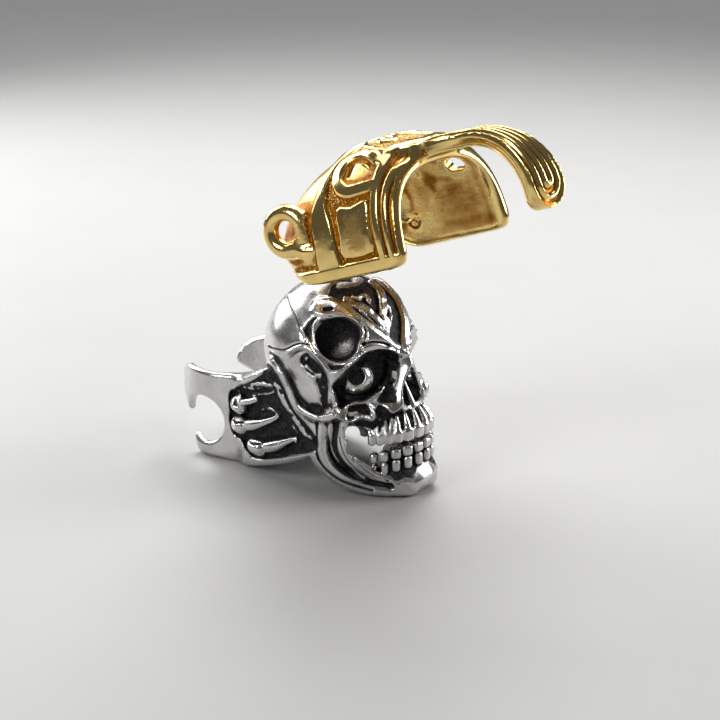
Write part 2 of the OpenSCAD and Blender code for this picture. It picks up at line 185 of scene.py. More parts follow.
def chain(x, y, z, path):
    """Distance from a bar along a path of (x, y, z, radius)."""
    best = None
    for a, b in zip(path, path[1:]):
        along = b[:3] - a[:3]
        t = ((x - a[0]) * along[0] + (y - a[1]) * along[1] + (z - a[2]) * along[2])
        t = np.clip(t / max(float(along @ along), 1e-9), 0, 1).astype(np.float32)
        far = np.sqrt((x - a[0] - t * along[0]) ** 2 + (y - a[1] - t * along[1]) ** 2
                      + (z - a[2] - t * along[2]) ** 2) - (a[3] + t * (b[3] - a[3]))
        best = far if best is None else np.minimum(best, far)
    return best


def flat_distance(u, v, outline):
    """Distance in a plane from a closed outline, below zero inside it."""
    best = None
    inside = np.zeros(np.broadcast(u, v).shape, bool)
    for (au, av), (bu, bv) in zip(outline, list(outline[1:]) + [outline[0]]):
        du, dv = bu - au, bv - av
        t = np.clip(((u - au) * du + (v - av) * dv) / max(du * du + dv * dv, 1e-9), 0, 1)
        far = (u - au - t * du) ** 2 + (v - av - t * dv) ** 2
        best = far if best is None else np.minimum(best, far)
        if dv:
            inside ^= ((av > v) != (bv > v)) & (u < du * (v - av) / dv + au)
    best = np.sqrt(best)
    return np.where(inside, -best, best).astype(np.float32)


def sections(x, y, z, levels, power):
    """A solid through level sections of (height, back, front, half width)."""
    rows = curve(levels, 4)
    heights = rows[:, 0]
    back, front, half = (np.interp(z, heights, rows[:, k]) for k in (1, 2, 3))
    a = (front - back) / 2
    middle = (front + back) / 2
    q = (np.abs((x - middle) / a) ** power + np.abs(y / half) ** power) ** (1 / power)
    d = (q - 1) * np.minimum(a, half)
    return np.maximum(d, np.maximum(heights[0] - z, z - heights[-1])).astype(np.float32)


class Clay:
    """A casting as a grid of distances to its surface, below zero inside, in millimetres."""

    def __init__(self, low, high, step):
        self.step = step
        self.axes = [np.arange(a, b, step, dtype=np.float32) for a, b in zip(low, high)]
        self.d = np.full([len(axis) for axis in self.axes], 3.0, np.float32)
        self.oxide = np.zeros_like(self.d)
        self.rough = np.zeros_like(self.d)

    def window(self, low, high):
        """The part of the grid inside a box, and its coordinates."""
        cut = tuple(slice(int(np.searchsorted(axis, a)), int(np.searchsorted(axis, b)))
                    for axis, a, b in zip(self.axes, low, high))
        x, y, z = (axis[c] for axis, c in zip(self.axes, cut))
        return cut, x[:, None, None], y[None, :, None], z[None, None, :]

    def add(self, low, high, shape, soft=0.3):
        """Add a shape inside a box, with a fillet where it meets the casting."""
        cut, x, y, z = self.window(low, high)
        self.d[cut] = join(self.d[cut], shape(x, y, z), soft)

    def take(self, low, high, shape, soft=0.3, oxide=0.0):
        """Cut a shape away, and blacken the metal around the cut."""
        cut, x, y, z = self.window(low, high)
        tool = shape(x, y, z)
        self.d[cut] = meet(self.d[cut], -tool, soft)
        if oxide:
            self.oxide[cut] = np.maximum(self.oxide[cut], oxide * step_up(1 - tool / 0.35))

    def rope(self, path, soft=0.3, steps=3, cut=False, oxide=0.0, polish=False):
        """Add or cut a round bar along a path of (x, y, z, radius)."""
        p = curve(path, steps)
        room = p[:, 3].max() + soft + 0.6
        low, high = p[:, :3].min(0) - room, p[:, :3].max(0) + room
        if cut:
            self.take(low, high, lambda x, y, z: chain(x, y, z, p), soft, oxide)
        else:
            self.add(low, high, lambda x, y, z: chain(x, y, z, p), soft)
        if polish:
            part, x, y, z = self.window(low, high)
            keep = step_up((chain(x, y, z, p) - 0.05) / 0.3)
            self.oxide[part] *= keep
            self.rough[part] *= keep

    def within(self, path, room, edge):
        """The grid round a path of (x, y, z, radius), and how far each point is inside it."""
        path = curve(path, 3)
        reach = path[:, 3].max() + room
        part, x, y, z = self.window(path[:, :3].min(0) - reach, path[:, :3].max(0) + reach)
        return part, step_up(0.5 - chain(x, y, z, path) / edge)

    def stain(self, path, oxide, rough):
        """Blacken and roughen what lies along a path, without changing the shape."""
        part, m = self.within(path, 0.4, 0.5)
        self.oxide[part] = np.maximum(self.oxide[part], oxide * m)
        self.rough[part] = np.maximum(self.rough[part], rough * m)

    def rub(self, path, cells=4):
        """Smooth the shape along a path, over the given number of grid steps."""
        part, m = self.within(path, 1.5, 0.8)
        near = np.clip(self.d[part], -2, 2)
        self.d[part] += m * (blurred(near, cells) - near)

    def unfold(self):
        """Mirror the side that was made, so that both sides can be drawn on."""
        self.axes[1] = np.concatenate([-self.axes[1][:0:-1], self.axes[1]])
        for name in ("d", "oxide", "rough"):
            half = getattr(self, name)
            whole = np.concatenate([half[:, :0:-1], half], axis=1)
            setattr(self, name, np.ascontiguousarray(whole))

    def settle(self):
        """Make the numbers near the surface true distances."""
        slope = np.sqrt(sum(g * g for g in np.gradient(self.d, self.step)))
        self.d = np.clip(self.d / np.maximum(slope, 0.25), -4, 4).astype(np.float32)


class Skin:
    """The points near a casting's surface, where its lines and hollows are drawn."""

    def __init__(self, clay, reach=2.6, box=EVERYWHERE):
        self.clay = clay
        cut = clay.window(*box)[0]
        near = np.zeros(clay.d.shape, bool)
        near[cut] = np.abs(clay.d[cut]) < reach
        self.at = np.flatnonzero(near.ravel())
        index = np.unravel_index(self.at, clay.d.shape)
        self.p = np.stack([axis[i] for axis, i in zip(clay.axes, index)])
        slopes = np.stack([g.ravel()[self.at] for g in np.gradient(clay.d, clay.step)])
        self.normal = slopes / np.maximum(np.sqrt((slopes ** 2).sum(0)), 0.05)
        self.lifted = np.zeros(len(self.at), np.float32)
        self.seen = {}

    def rays(self, centre):
        """Which way each point lies from a centre."""
        if centre not in self.seen:
            away = self.p - np.array(centre, np.float32)[:, None]
            self.seen[centre] = (away / np.sqrt((away ** 2).sum(0))).astype(np.float32)
        return self.seen[centre]

    def near(self, path, reach, centre, room=3.5):
        """The points close to a line as seen from a centre, and how far off it they are."""
        away = path - np.array(centre, float)
        radius = float(np.mean(np.sqrt((away ** 2).sum(1))))
        ways = away / np.sqrt((away ** 2).sum(1))[:, None]
        rays = self.rays(centre)
        pad = reach / radius
        ok = np.ones(len(self.at), bool)
        for k in range(3):
            ok &= (rays[k] > ways[:, k].min() - pad) & (rays[k] < ways[:, k].max() + pad)
            ok &= (self.p[k] > path[:, k].min() - room) & (self.p[k] < path[:, k].max() + room)
        picked = np.flatnonzero(ok)
        q = rays[:, picked]
        best = np.full(len(picked), 9.0, np.float32)
        for a, b in zip(ways, ways[1:]):
            along = b - a
            t = ((q - a[:, None]) * along[:, None]).sum(0) / max(float(along @ along), 1e-12)
            t = np.clip(t, 0, 1)
            far = ((q - a[:, None] - along[:, None] * t) ** 2).sum(0)
            best = np.minimum(best, far)
        # Nothing is drawn where the surface turns away from the viewer
        facing = (self.normal[:, picked] * q).sum(0) * (1 if centre == CORE else -1)
        return picked, np.sqrt(best) * radius, q, ways, step_up((facing - 0.02) / 0.3)

    def line(self, path, height, width, centre=VIEWER, oxide=0.0, closed=False, flat=0.0):
        """Raise a rounded line on the surface, or cut it where the height is below zero."""
        p = curve([q[:3] for q in path], 3, closed)
        picked, far, _, _, facing = self.near(p, width * 2.4 + flat, centre)
        m = np.exp(-(np.maximum(far - flat, 0) / width) ** 2) * facing
        at = self.at[picked]
        d, dark = self.clay.d.ravel(), self.clay.oxide.ravel()
        if height < 0:
            d[at] -= height * m
        else:
            # Where raised lines meet, the higher one counts and they don't add up
            old = self.lifted[picked]
            self.lifted[picked] = np.maximum(old, height * m)
            d[at] -= self.lifted[picked] - old
            dark[at] *= 1 - np.clip(m * 1.5, 0, 1)
            self.clay.rough.ravel()[at] *= 1 - np.clip(m * 1.5, 0, 1)
        if oxide:
            dark[at] = np.maximum(dark[at], oxide * m)

    def area(self, outline, depth, edge=0.6, centre=VIEWER, oxide=0.0, rough=0.0, bumps=0.0,
             seed=0, room=3.5, polish=0.0):
        """Sink an outlined area of the surface, or raise it where the depth is below zero."""
        p = curve([q[:3] for q in outline], 3, True)
        picked, far, q, ways, facing = self.near(p, edge + 0.2, centre, room)
        out = ways.mean(0)
        out /= np.sqrt((out ** 2).sum())
        side = np.cross(out, (0, 0, 1.0))
        side /= np.sqrt((side ** 2).sum())
        up = np.cross(side, out)
        depthwise = out @ q
        u, v = side @ q / depthwise, up @ q / depthwise
        flat = ways @ out
        drawn = list(zip(ways @ side / flat, ways @ up / flat))
        inside = flat_distance(u, v, drawn) < 0
        m = step_up(np.where(inside, far, -far) / edge + 0.5) * facing
        at = self.at[picked]
        d = self.clay.d.ravel()
        d[at] += depth * m
        if bumps:
            d[at] += bumps * m * lumps(self.p[:, picked], 0.75, seed)
        for field, value in ((self.clay.oxide.ravel(), oxide), (self.clay.rough.ravel(), rough)):
            field[at] = np.maximum(field[at] * (1 - polish * m), value * m)


def corners(t):
    """Each corner of a grid cell, and its weight for a point at the fractions t of the cell."""
    for i, j, k in itertools.product((0, 1), repeat=3):
        yield (i, j, k), ((t[0] if i else 1 - t[0]) * (t[1] if j else 1 - t[1])
                          * (t[2] if k else 1 - t[2]))


def lumps(points, size, seed):
    """Soft random lumps of about the given size, from -1 to 1."""
    table = np.random.default_rng(seed).random((32, 32, 32)).astype(np.float32) * 2 - 1
    q = points / size + 1000
    cell = np.floor(q).astype(np.int64)
    t = (q - cell).astype(np.float32)
    t = t * t * (3 - 2 * t)
    total = np.zeros(points.shape[1], np.float32)
    for (i, j, k), weight in corners(t):
        total += weight * table[(cell[0] + i) % 32, (cell[1] + j) % 32, (cell[2] + k) % 32]
    return total


def blurred(field, cells):
    """The field averaged over a box of 2 * cells + 1 grid steps, twice."""
    span = 2 * cells + 1
    for _ in range(2):
        for axis in range(3):
            pad = [(cells + 1, cells) if k == axis else (0, 0) for k in range(3)]
            total = np.cumsum(np.pad(field, pad, "edge"), axis, dtype=np.float64)
            total = np.moveaxis(total, axis, 0)
            field = np.moveaxis((total[span:] - total[:-span]) / span, 0, axis)
            field = field.astype(np.float32)
    return field


def sampled(field, at):
    """A grid's values between its cells, at fractional indices."""
    size = np.array(field.shape)[:, None]
    at = np.clip(at, 0, size - 1.001)
    cell = at.astype(np.int64)
    t = (at - cell).astype(np.float32)
    return sum(weight * field[cell[0] + i, cell[1] + j, cell[2] + k]
               for (i, j, k), weight in corners(t))


def new_object(name, data):
    """An object of the given data, in the scene."""
    made = bpy.data.objects.new(name, data)
    bpy.context.scene.collection.objects.link(made)
    return made


def cast(clay, name, place, faces):
    """Turn clay into a mesh object of at most the given number of triangles."""
    whole = np.pad(np.clip(clay.d, -0.6, 0.6), 1, constant_values=0.6)
    grid = openvdb.FloatGrid(0.6)
    grid.copyFromArray(np.ascontiguousarray(whole))
    points, triangles, quads = grid.convertToPolygons(isovalue=0.0, adaptivity=0.0)
    corner = np.array([axis[0] for axis in clay.axes])[:, None]
    at = (points.T - 1) * clay.step + corner
    polygons = np.concatenate([quads[:, (0, 1, 2)], quads[:, (0, 2, 3)], triangles])
    at, polygons = largest_part(at, polygons)
    draft = mesh_object(name + "_draft", place(at), polygons)
    thin = draft.modifiers.new("Thin", "DECIMATE")
    thin.ratio = min(1.0, faces / len(polygons))
    bpy.context.view_layer.update()
    done = bpy.data.meshes.new_from_object(draft.evaluated_get(
        bpy.context.evaluated_depsgraph_get()))
    bpy.data.objects.remove(draft)
    done.name = name
    return new_object(name, done)


def mesh_object(name, at, polygons):
    """A mesh object of triangles from points and corner numbers."""
    mesh = bpy.data.meshes.new(name)
    mesh.vertices.add(at.shape[1])
    mesh.vertices.foreach_set("co", at.T.astype(np.float32).ravel())
    mesh.loops.add(polygons.size)
    mesh.loops.foreach_set("vertex_index", polygons.astype(np.int32).ravel())
    mesh.polygons.add(len(polygons))
    mesh.polygons.foreach_set("loop_start", np.arange(0, polygons.size, 3, dtype=np.int32))
    mesh.update(calc_edges=True)
    return new_object(name, mesh)


def largest_part(at, polygons):
    """Keep only the largest connected part of a mesh."""
    label = np.arange(at.shape[1])
    while True:
        low = label[polygons].min(1)
        before = label.copy()
        for k in range(3):
            np.minimum.at(label, polygons[:, k], low)
        for _ in range(6):
            label = label[label]
        if np.array_equal(before, label):
            break
    main = np.bincount(label[polygons[:, 0]], minlength=at.shape[1]).argmax()
    polygons = polygons[label[polygons[:, 0]] == main]
    kept = np.zeros(at.shape[1], bool)
    kept[polygons.ravel()] = True
    number = np.cumsum(kept) - 1
    return at[:, kept], number[polygons]


def vertex_places(mesh):
    """The places of a mesh's vertices, one in each row."""
    xyz = np.empty(len(mesh.vertices) * 3, np.float32)
    mesh.vertices.foreach_get("co", xyz)
    return xyz.reshape(-1, 3).astype(float)


def outward(mesh):
    """Turn a closed mesh's faces outwards."""
    xyz = vertex_places(mesh)
    mesh.calc_loop_triangles()
    tri = np.empty(len(mesh.loop_triangles) * 3, np.int32)
    mesh.loop_triangles.foreach_get("vertices", tri)
    a, b, c = (xyz[tri.reshape(-1, 3)[:, k]] for k in range(3))
    if np.einsum("ij,ij->i", a, np.cross(b, c)).sum() < 0:
        mesh.flip_normals()
    mesh.shade_smooth()


def shade(piece, clay, unplace):
    """Give a cast piece its attributes: oxide in recesses, hollow and worn places, rough parts."""
    mesh = piece.data
    at = unplace(vertex_places(mesh).T)
    index = (at - np.array([axis[0] for axis in clay.axes])[:, None]) / clay.step
    near = np.clip(clay.d, -2.5, 2.5)
    fine, broad = near - blurred(near, 2), near - blurred(near, 5)
    # Oxide above 1 keeps a place black although it stands out from what is round it
    for label, field, scale, most in (("oxide", clay.oxide, 1.0, 2.5),
                                      ("rough", clay.rough, 1.0, 1.0),
                                      ("fine_hollow", fine, 6.0, 1.0),
                                      ("broad_hollow", broad, 2.5, 1.0)):
        values = np.clip(sampled(field, index) * scale, -1, most).astype(np.float32)
        mesh.attributes.new(label, "FLOAT", "POINT").data.foreach_set("value", values)


def turned_band(x, y, z, sizes):
    """The open band with its cut-out, its slit and its hooked end."""
    middle = sizes.finger_radius / MM + sizes.band_wall / MM / 2
    r = np.sqrt(x * x + y * y)
    turn = np.degrees(np.arctan2(y, x))
    per_degree = math.radians(1) * middle
    outline = [(a * per_degree if a else -9.0, h) for a, h in BAND_OUTLINE]
    flat = flat_distance(turn * per_degree, z, outline)
    angle, height, radius = CUT_OUT
    eye = np.sqrt(((turn - angle) * per_degree) ** 2 + (z - height) ** 2) - radius
    flat = meet(flat, -eye, 0.35)
    return meet(np.abs(r - middle) - sizes.band_wall / MM / 2, flat, 0.75)


def shoulder(x, y, z):
    """The plate that joins the band to the skull."""
    rows = curve(SHOULDER, 4)
    half, low, high, inner = (np.interp(x, rows[:, 0], rows[:, k]) for k in (1, 2, 3, 4))
    d = meet(y - half, inner - y, 0.8)
    d = meet(d, low - z, 1.2)
    d = meet(d, z - high, 1.3)
    return meet(d, np.abs(x - 14.0) - 11.0, 0.5)


def block(x, y, z, centre, turn, size, rounding):
    """A rounded block, turned about the vertical by an angle in degrees."""
    c, s = math.cos(math.radians(turn)), math.sin(math.radians(turn))
    dx, dy = x - centre[0], y - centre[1]
    q = [np.abs(dx * c + dy * s) - size[0] + rounding, np.abs(dy * c - dx * s) - size[1] + rounding,
         np.abs(z - centre[2]) - size[2] + rounding]
    outside = np.sqrt(sum(np.maximum(k, 0) ** 2 for k in q))
    return outside + np.minimum(np.maximum(np.maximum(q[0], q[1]), q[2]), 0) - rounding


def add_tooth(clay, centre, turn, size, rounding, room):
    """Add a rounded block, whose fillet stays within a box round its centre."""
    low = np.array(centre) - room
    clay.add(low, low + 2 * room,
             lambda x, y, z: block(x, y, z, centre, turn, size, rounding), 0.12)


def model_head(clay):
    """The masses of the head, before its lines are drawn."""
    clay.add((8, -1, 9), (38, 13, 35), lambda x, y, z: sections(x, y, z, CRANIUM, 2.15), 0.6)
    clay.add((30, -1, -1), (41, 7, 9), lambda x, y, z: sections(x, y, z, CHIN, 2.3), 0.6)
    # The nose and the root of the brow
    clay.rope(((32.4, 0, 24.2, 1.2), (33.9, 0, 22.6, 1.3), (34.4, 0, 20.4, 1.5),
               (34.2, 0.8, 18.0, 1.8), (34.0, 1.6, 16.2, 2.2)), 1.0)
    clay.rope(((34.6, 0.0, 15.4, 1.5), (34.6, 2.2, 15.4, 1.5), (34.4, 4.0, 15.2, 1.1)), 0.8)
    # The cheekbone, standing out over the jaw
    clay.rope(((22.5, 10.6, 14.4, 0.9), (25.5, 10.5, 14.0, 1.0), (28.6, 10.4, 14.6, 1.1),
               (31.0, 9.0, 14.8, 1.0), (32.6, 7.2, 14.6, 0.9)), 0.7)
    # The arm of the jaw: its body, the band along its front and the broad band at its back
    clay.rope(((26.9, 9.0, 14.6, 1.5), (27.3, 9.0, 11.0, 1.35), (27.8, 8.8, 7.6, 1.35),
               (29.6, 7.8, 4.9, 1.4), (32.4, 5.9, 3.4, 1.6), (35.0, 4.2, 2.8, 1.8)), 0.5)
    clay.rope(((29.2, 9.3, 13.6, 0.7), (29.5, 9.7, 10.6, 0.85), (30.4, 9.3, 7.6, 0.9),
               (32.0, 8.1, 5.4, 0.9), (34.6, 6.1, 3.4, 0.9), (36.6, 4.6, 2.6, 0.9)), 0.25)
    clay.rope(((25.6, 9.9, 14.2, 1.0), (25.4, 10.3, 11.0, 1.1), (25.3, 10.3, 7.6, 1.25),
               (26.5, 9.8, 4.8, 1.35), (28.9, 8.7, 2.9, 1.4), (32.4, 6.6, 1.7, 1.45),
               (35.6, 4.2, 1.5, 1.5), (37.6, 2.4, 1.6, 1.5)), 0.45)
    clay.rope(((24.0, 10.6, 9.4, 0.7), (24.0, 10.5, 6.6, 0.9), (25.4, 9.6, 4.0, 1.0),
               (28.6, 8.2, 1.7, 1.0), (32.8, 5.6, 1.0, 1.0)), 0.5)


def open_mouth(clay):
    """The nose, the room behind the jaw, the gap before its arm, and the mouth."""
    clay.take((32, -1, 13), (38, 5, 23),
              lambda x, y, z: meet(33.2 - x, flat_distance(y, z, NOSE_HOLE), 0.6), 0.35, 1.0)
    clay.take((11, -1, -1), (32, 8.5, 10), lambda x, y, z: meet(
        meet(z - 9.4, y - 7.4, 0.8), np.abs(x - 21.5) - 10.2, 0.8), 0.5, 0.85)
    clay.rope(((32.6, 11.6, 12.6, 1.0), (30.6, 9.0, 11.4, 1.15), (27.4, 5.0, 9.4, 1.5),
               (25, 2.0, 7.8, 1.8)), 0.3, cut=True, oxide=0.8)
    clay.rope(((33.4, 11.6, 10.4, 1.3), (31.0, 8.6, 9.0, 1.5), (28.0, 4.8, 7.4, 1.8),
               (25, 1.6, 6.0, 2.0)), 0.3, cut=True, oxide=0.8)
    clay.rope(((33.0, 10.2, 8.2, 0.7), (31.6, 7.6, 7.4, 1.0), (28.5, 4.0, 6.4, 1.5)), 0.3,
              cut=True, oxide=0.8)


def model_teeth(clay):
    """Two rows of teeth along the round of the jaws, with their roots."""
    # Each tooth: degrees round the jaw, half width, height of its middle, turn in degrees
    upper = ((8.5, 1.02, 11.15, 3), (25.5, 0.98, 11.0, -3), (40.5, 0.85, 10.85, 4),
             (53.5, 0.74, 10.6, -4), (65.0, 0.66, 10.35, 5), (76.5, 0.62, 10.15, 0))
    for turn, half, up, lean in upper:
        a = math.radians(turn)
        away = np.array([math.cos(a), math.sin(a)])
        x, y = 31.2, 0.0
        centre = (x + 6.7 * away[0], y + 6.65 * away[1], up)
        add_tooth(clay, centre, turn + lean, (0.82, half, 1.12), 0.55, 2.6)
        side = np.array([-away[1], away[0]])
        root = 0.66 if turn < 45 else 0.5
        top = 15.0 - turn * 0.02
        for shift in ((-0.38, 0.38) if turn > 45 else (0.0,)):
            foot = np.array((x, y)) + 6.75 * away + side * shift
            crest = np.array((x, y)) + 5.6 * away + side * shift * 1.5
            clay.rope(((*foot, up + 0.7, root), (*(foot * 0.6 + crest * 0.4), up + 1.9,
                                                 root * 0.8),
                       (*crest, top - 0.4, root * 0.42)), 0.18, polish=turn < 45)
    lower = ((9.5, 0.92, 8.45, -4), (27.5, 0.90, 8.25, 5), (44.0, 0.84, 7.85, -5),
             (60.0, 0.74, 7.3, 6), (75.0, 0.62, 6.8, 0))
    for turn, half, up, lean in lower:
        a = math.radians(turn)
        away = np.array([math.cos(a), math.sin(a)])
        crown = (31.3 + 6.6 * away[0], 6.5 * away[1], up)
        root = (31.4 + 6.6 * away[0], 6.5 * away[1], up - 2.05)
        add_tooth(clay, crown, turn + lean, (0.85, half, 0.88), 0.5, 2.2)
        add_tooth(clay, root, turn - lean, (0.85, half * 0.8, 1.1), 0.55, 2.4)
    # Above the side teeth the gum is black
    clay.stain(((31.6, 8.3, 12.8, 1.1), (33.8, 7.2, 13.0, 1.15), (35.4, 5.8, 13.3, 1.0)),
               oxide=1.7, rough=0.7)
    # The mouth's dark line
    clay.rope(((39.6, 0, 9.7, 0.3), (38.4, 3.0, 9.6, 0.3), (36.2, 5.8, 9.25, 0.3),
               (33.6, 7.4, 8.7, 0.36), (31.8, 8.0, 8.4, 0.4)), 0.15, cut=True, oxide=1.0)


def draw_side(skin):
    """The temple: its bowl, the panel behind the cheek and the suture."""
    clay = skin.clay
    skin.area(((22.7, 11.2, 26.9), (23.4, 9.8, 29.6), (26.4, 6.4, 30.0), (29.6, 5.2, 29.0),
               (30.6, 5.0, 27.0), (30.4, 6.0, 24.4), (29.6, 8.2, 22.6), (28.2, 10.6, 22.1),
               (27.0, 10.8, 22.9), (24.6, 11.0, 24.8)), 0.6, 0.6, oxide=0.95, rough=0.5)
    heart = np.array(BOWL_MOUTH) + np.array(BOWL_WAY)
    clay.take(heart - 5, heart + 5, lambda x, y, z: from_point(x, y, z, heart) - 3.8, 0.4, 1.0)
    # The bowl is black above and behind, oxide with painted shade, and cleared bright below and in
    # front as a painted highlight
    part, x, y, z = clay.window(heart - 4.6, heart + 4.6)
    lit = (x - heart[0]) * 0.45 - (y - heart[1]) * 0.35 - (z - heart[2]) * 0.8
    deep = from_point(x, y, z, heart)
    lit = step_up((lit + 0.2) / 2.6) * step_up((4.4 - deep) / 0.3)
    clay.oxide[part] *= 1 - 0.95 * lit
    clay.rough[part] = np.maximum(clay.rough[part], 0.8 * step_up((4.3 - deep) / 0.3))
    skin.line(BOWL_RIM, 0.55, 0.32, closed=True)
    skin.line(BOWL_BRINK, 0.5, 0.22)
    # The satin panel behind the cheek, dark and pitted towards the eye
    skin.area(TEMPLE_EDGE + TEMPLE_FOOT[::-1][1:], 0.5, 2.2)
    skin.area(((22.2, 11.8, 23.2), (23.6, 11.7, 24.2), (24.8, 11.2, 23.4), (26.5, 11.0, 21.9),
               (27.4, 11.0, 20.0), (27.3, 11.2, 17.6), (26.9, 11.0, 15.4), (25.8, 11.0, 16.4),
               (25.6, 11.2, 18.6), (24.6, 11.4, 20.4), (23.0, 11.7, 21.4)), 0.4, 0.8,
              oxide=0.8, rough=1.0, bumps=0.2, seed=3)
    skin.area(((23.9, 11.6, 23.6), (25.6, 11.2, 22.8), (26.4, 11.0, 21.6), (25.2, 11.3, 21.2),
               (23.8, 11.6, 22.2)), 0.45, 0.5, oxide=1.0)
    skin.area(((19.6, 12.0, 22.6), (21.6, 12.0, 23.4), (22.6, 11.8, 21.4), (22.6, 11.8, 19.4),
               (20.4, 12.0, 20.4)), 0.0, 1.2, rough=0.7, oxide=0.2)
    skin.area(((23.0, 11.2, 14.6), (24.4, 11.0, 15.6), (26.2, 11.0, 15.2), (26.0, 11.0, 14.2),
               (24.2, 11.0, 13.9)), 0.4, 0.7, oxide=0.9, rough=0.8, bumps=0.2, seed=4)
    skin.area(((25.4, 11.0, 13.9), (27.6, 10.9, 15.8), (28.1, 10.9, 14.4)), -0.45, 0.7,
              polish=1.0)
    skin.line(TEMPLE_EDGE[3:], 0.42, 0.34)
    skin.line(TEMPLE_FOOT, 0.7, 0.4, flat=0.25)
    skin.line(SUTURE, -0.16, 0.15, oxide=0.5)
    skin.line(((14.3, 10.3, 23.1), (16.2, 11.2, 23.4), (18.8, 11.9, 23.9), (20.1, 12.0, 24.5),
               (21.4, 11.9, 25.3), (22.6, 11.6, 25.7), (23.6, 11.3, 25.6)), -0.22, 0.17,
              oxide=0.6)


def draw_eye(skin):
    """The eye in its socket, under the brow."""
    clay = skin.clay
    skin.area(SOCKET, 2.3, 1.0, oxide=1.0, rough=0.55, bumps=0.12, seed=5)
    skin.area(((33.9, 0.8, 23.4), (34.7, 1.0, 22.0), (35.1, 1.9, 20.2), (35.2, 2.7, 18.2),
               (35.2, 3.5, 16.4), (34.6, 4.8, 16.0), (33.2, 5.6, 16.4), (32.4, 4.0, 17.8),
               (32.6, 2.6, 19.4), (33.0, 1.8, 21.8)), 0.35, 0.9, centre=CORE, oxide=1.0)
    # The dark trough between the eye and the nose, and the nose's dark side wall
    clay.rope(((32.4, 2.8, 22.8, 0.8), (32.5, 2.8, 21.4, 1.0), (32.6, 3.1, 20.0, 1.0),
               (32.8, 3.6, 18.6, 0.8)), 0.6, cut=True)
    clay.rub(((32.6, 2.4, 22.6, 1.0), (32.9, 2.1, 21.0, 1.3), (33.1, 2.4, 19.4, 1.3),
              (33.4, 3.2, 18.0, 1.0)))
    clay.stain(((32.2, 2.6, 23.0, 1.3), (32.4, 2.4, 21.0, 1.8), (32.6, 2.8, 19.0, 1.8),
                (33.2, 3.6, 17.4, 1.4)), oxide=2.5, rough=0.9)
    clay.stain(((33.9, 1.3, 21.8, 0.6), (34.1, 1.8, 20.4, 0.8), (34.3, 2.6, 18.6, 0.9),
                (34.6, 3.6, 16.8, 0.8)), oxide=1.8, rough=0.6)
    # The ball of the eye and its lids
    ball = np.array(EYE_CENTRE)
    part, x, y, z = clay.window(ball - 4.2, ball + 4.2)
    clay.d[part] = join(clay.d[part], from_point(x, y, z, ball) - EYE_RADIUS, 0.3)
    skin.line(EYE_BAG, 0.4, 0.3)
    skin.line(EYE_TOP, 0.5, 0.34)
    skin.line(LOWER_RIM, 0.5, 0.34)
    # The pitted cheek and its wavy rim
    skin.area(CHEEK_PATCH, 0.45, 0.5, oxide=0.95, rough=1.0, bumps=0.2, seed=8)
    skin.line(CHEEK, 0.42, 0.32)
    skin.area(((28.2, 11.0, 21.4), (28.3, 11.0, 19.4), (28.9, 10.6, 19.9), (29.6, 9.2, 21.8)),
              -0.35, 0.5, polish=1.0)
    # The brow's edge and the corner of the cheek are rubbed smooth
    clay.rub(((31.9, 6.4, 25.4, 0.7), (32.8, 5.2, 25.6, 0.9), (33.4, 3.9, 25.3, 0.7)), 3)
    clay.rub(((29.2, 11.4, 17.4, 0.8), (29.8, 10.9, 16.4, 0.8), (30.2, 10.4, 15.6, 0.7)), 3)


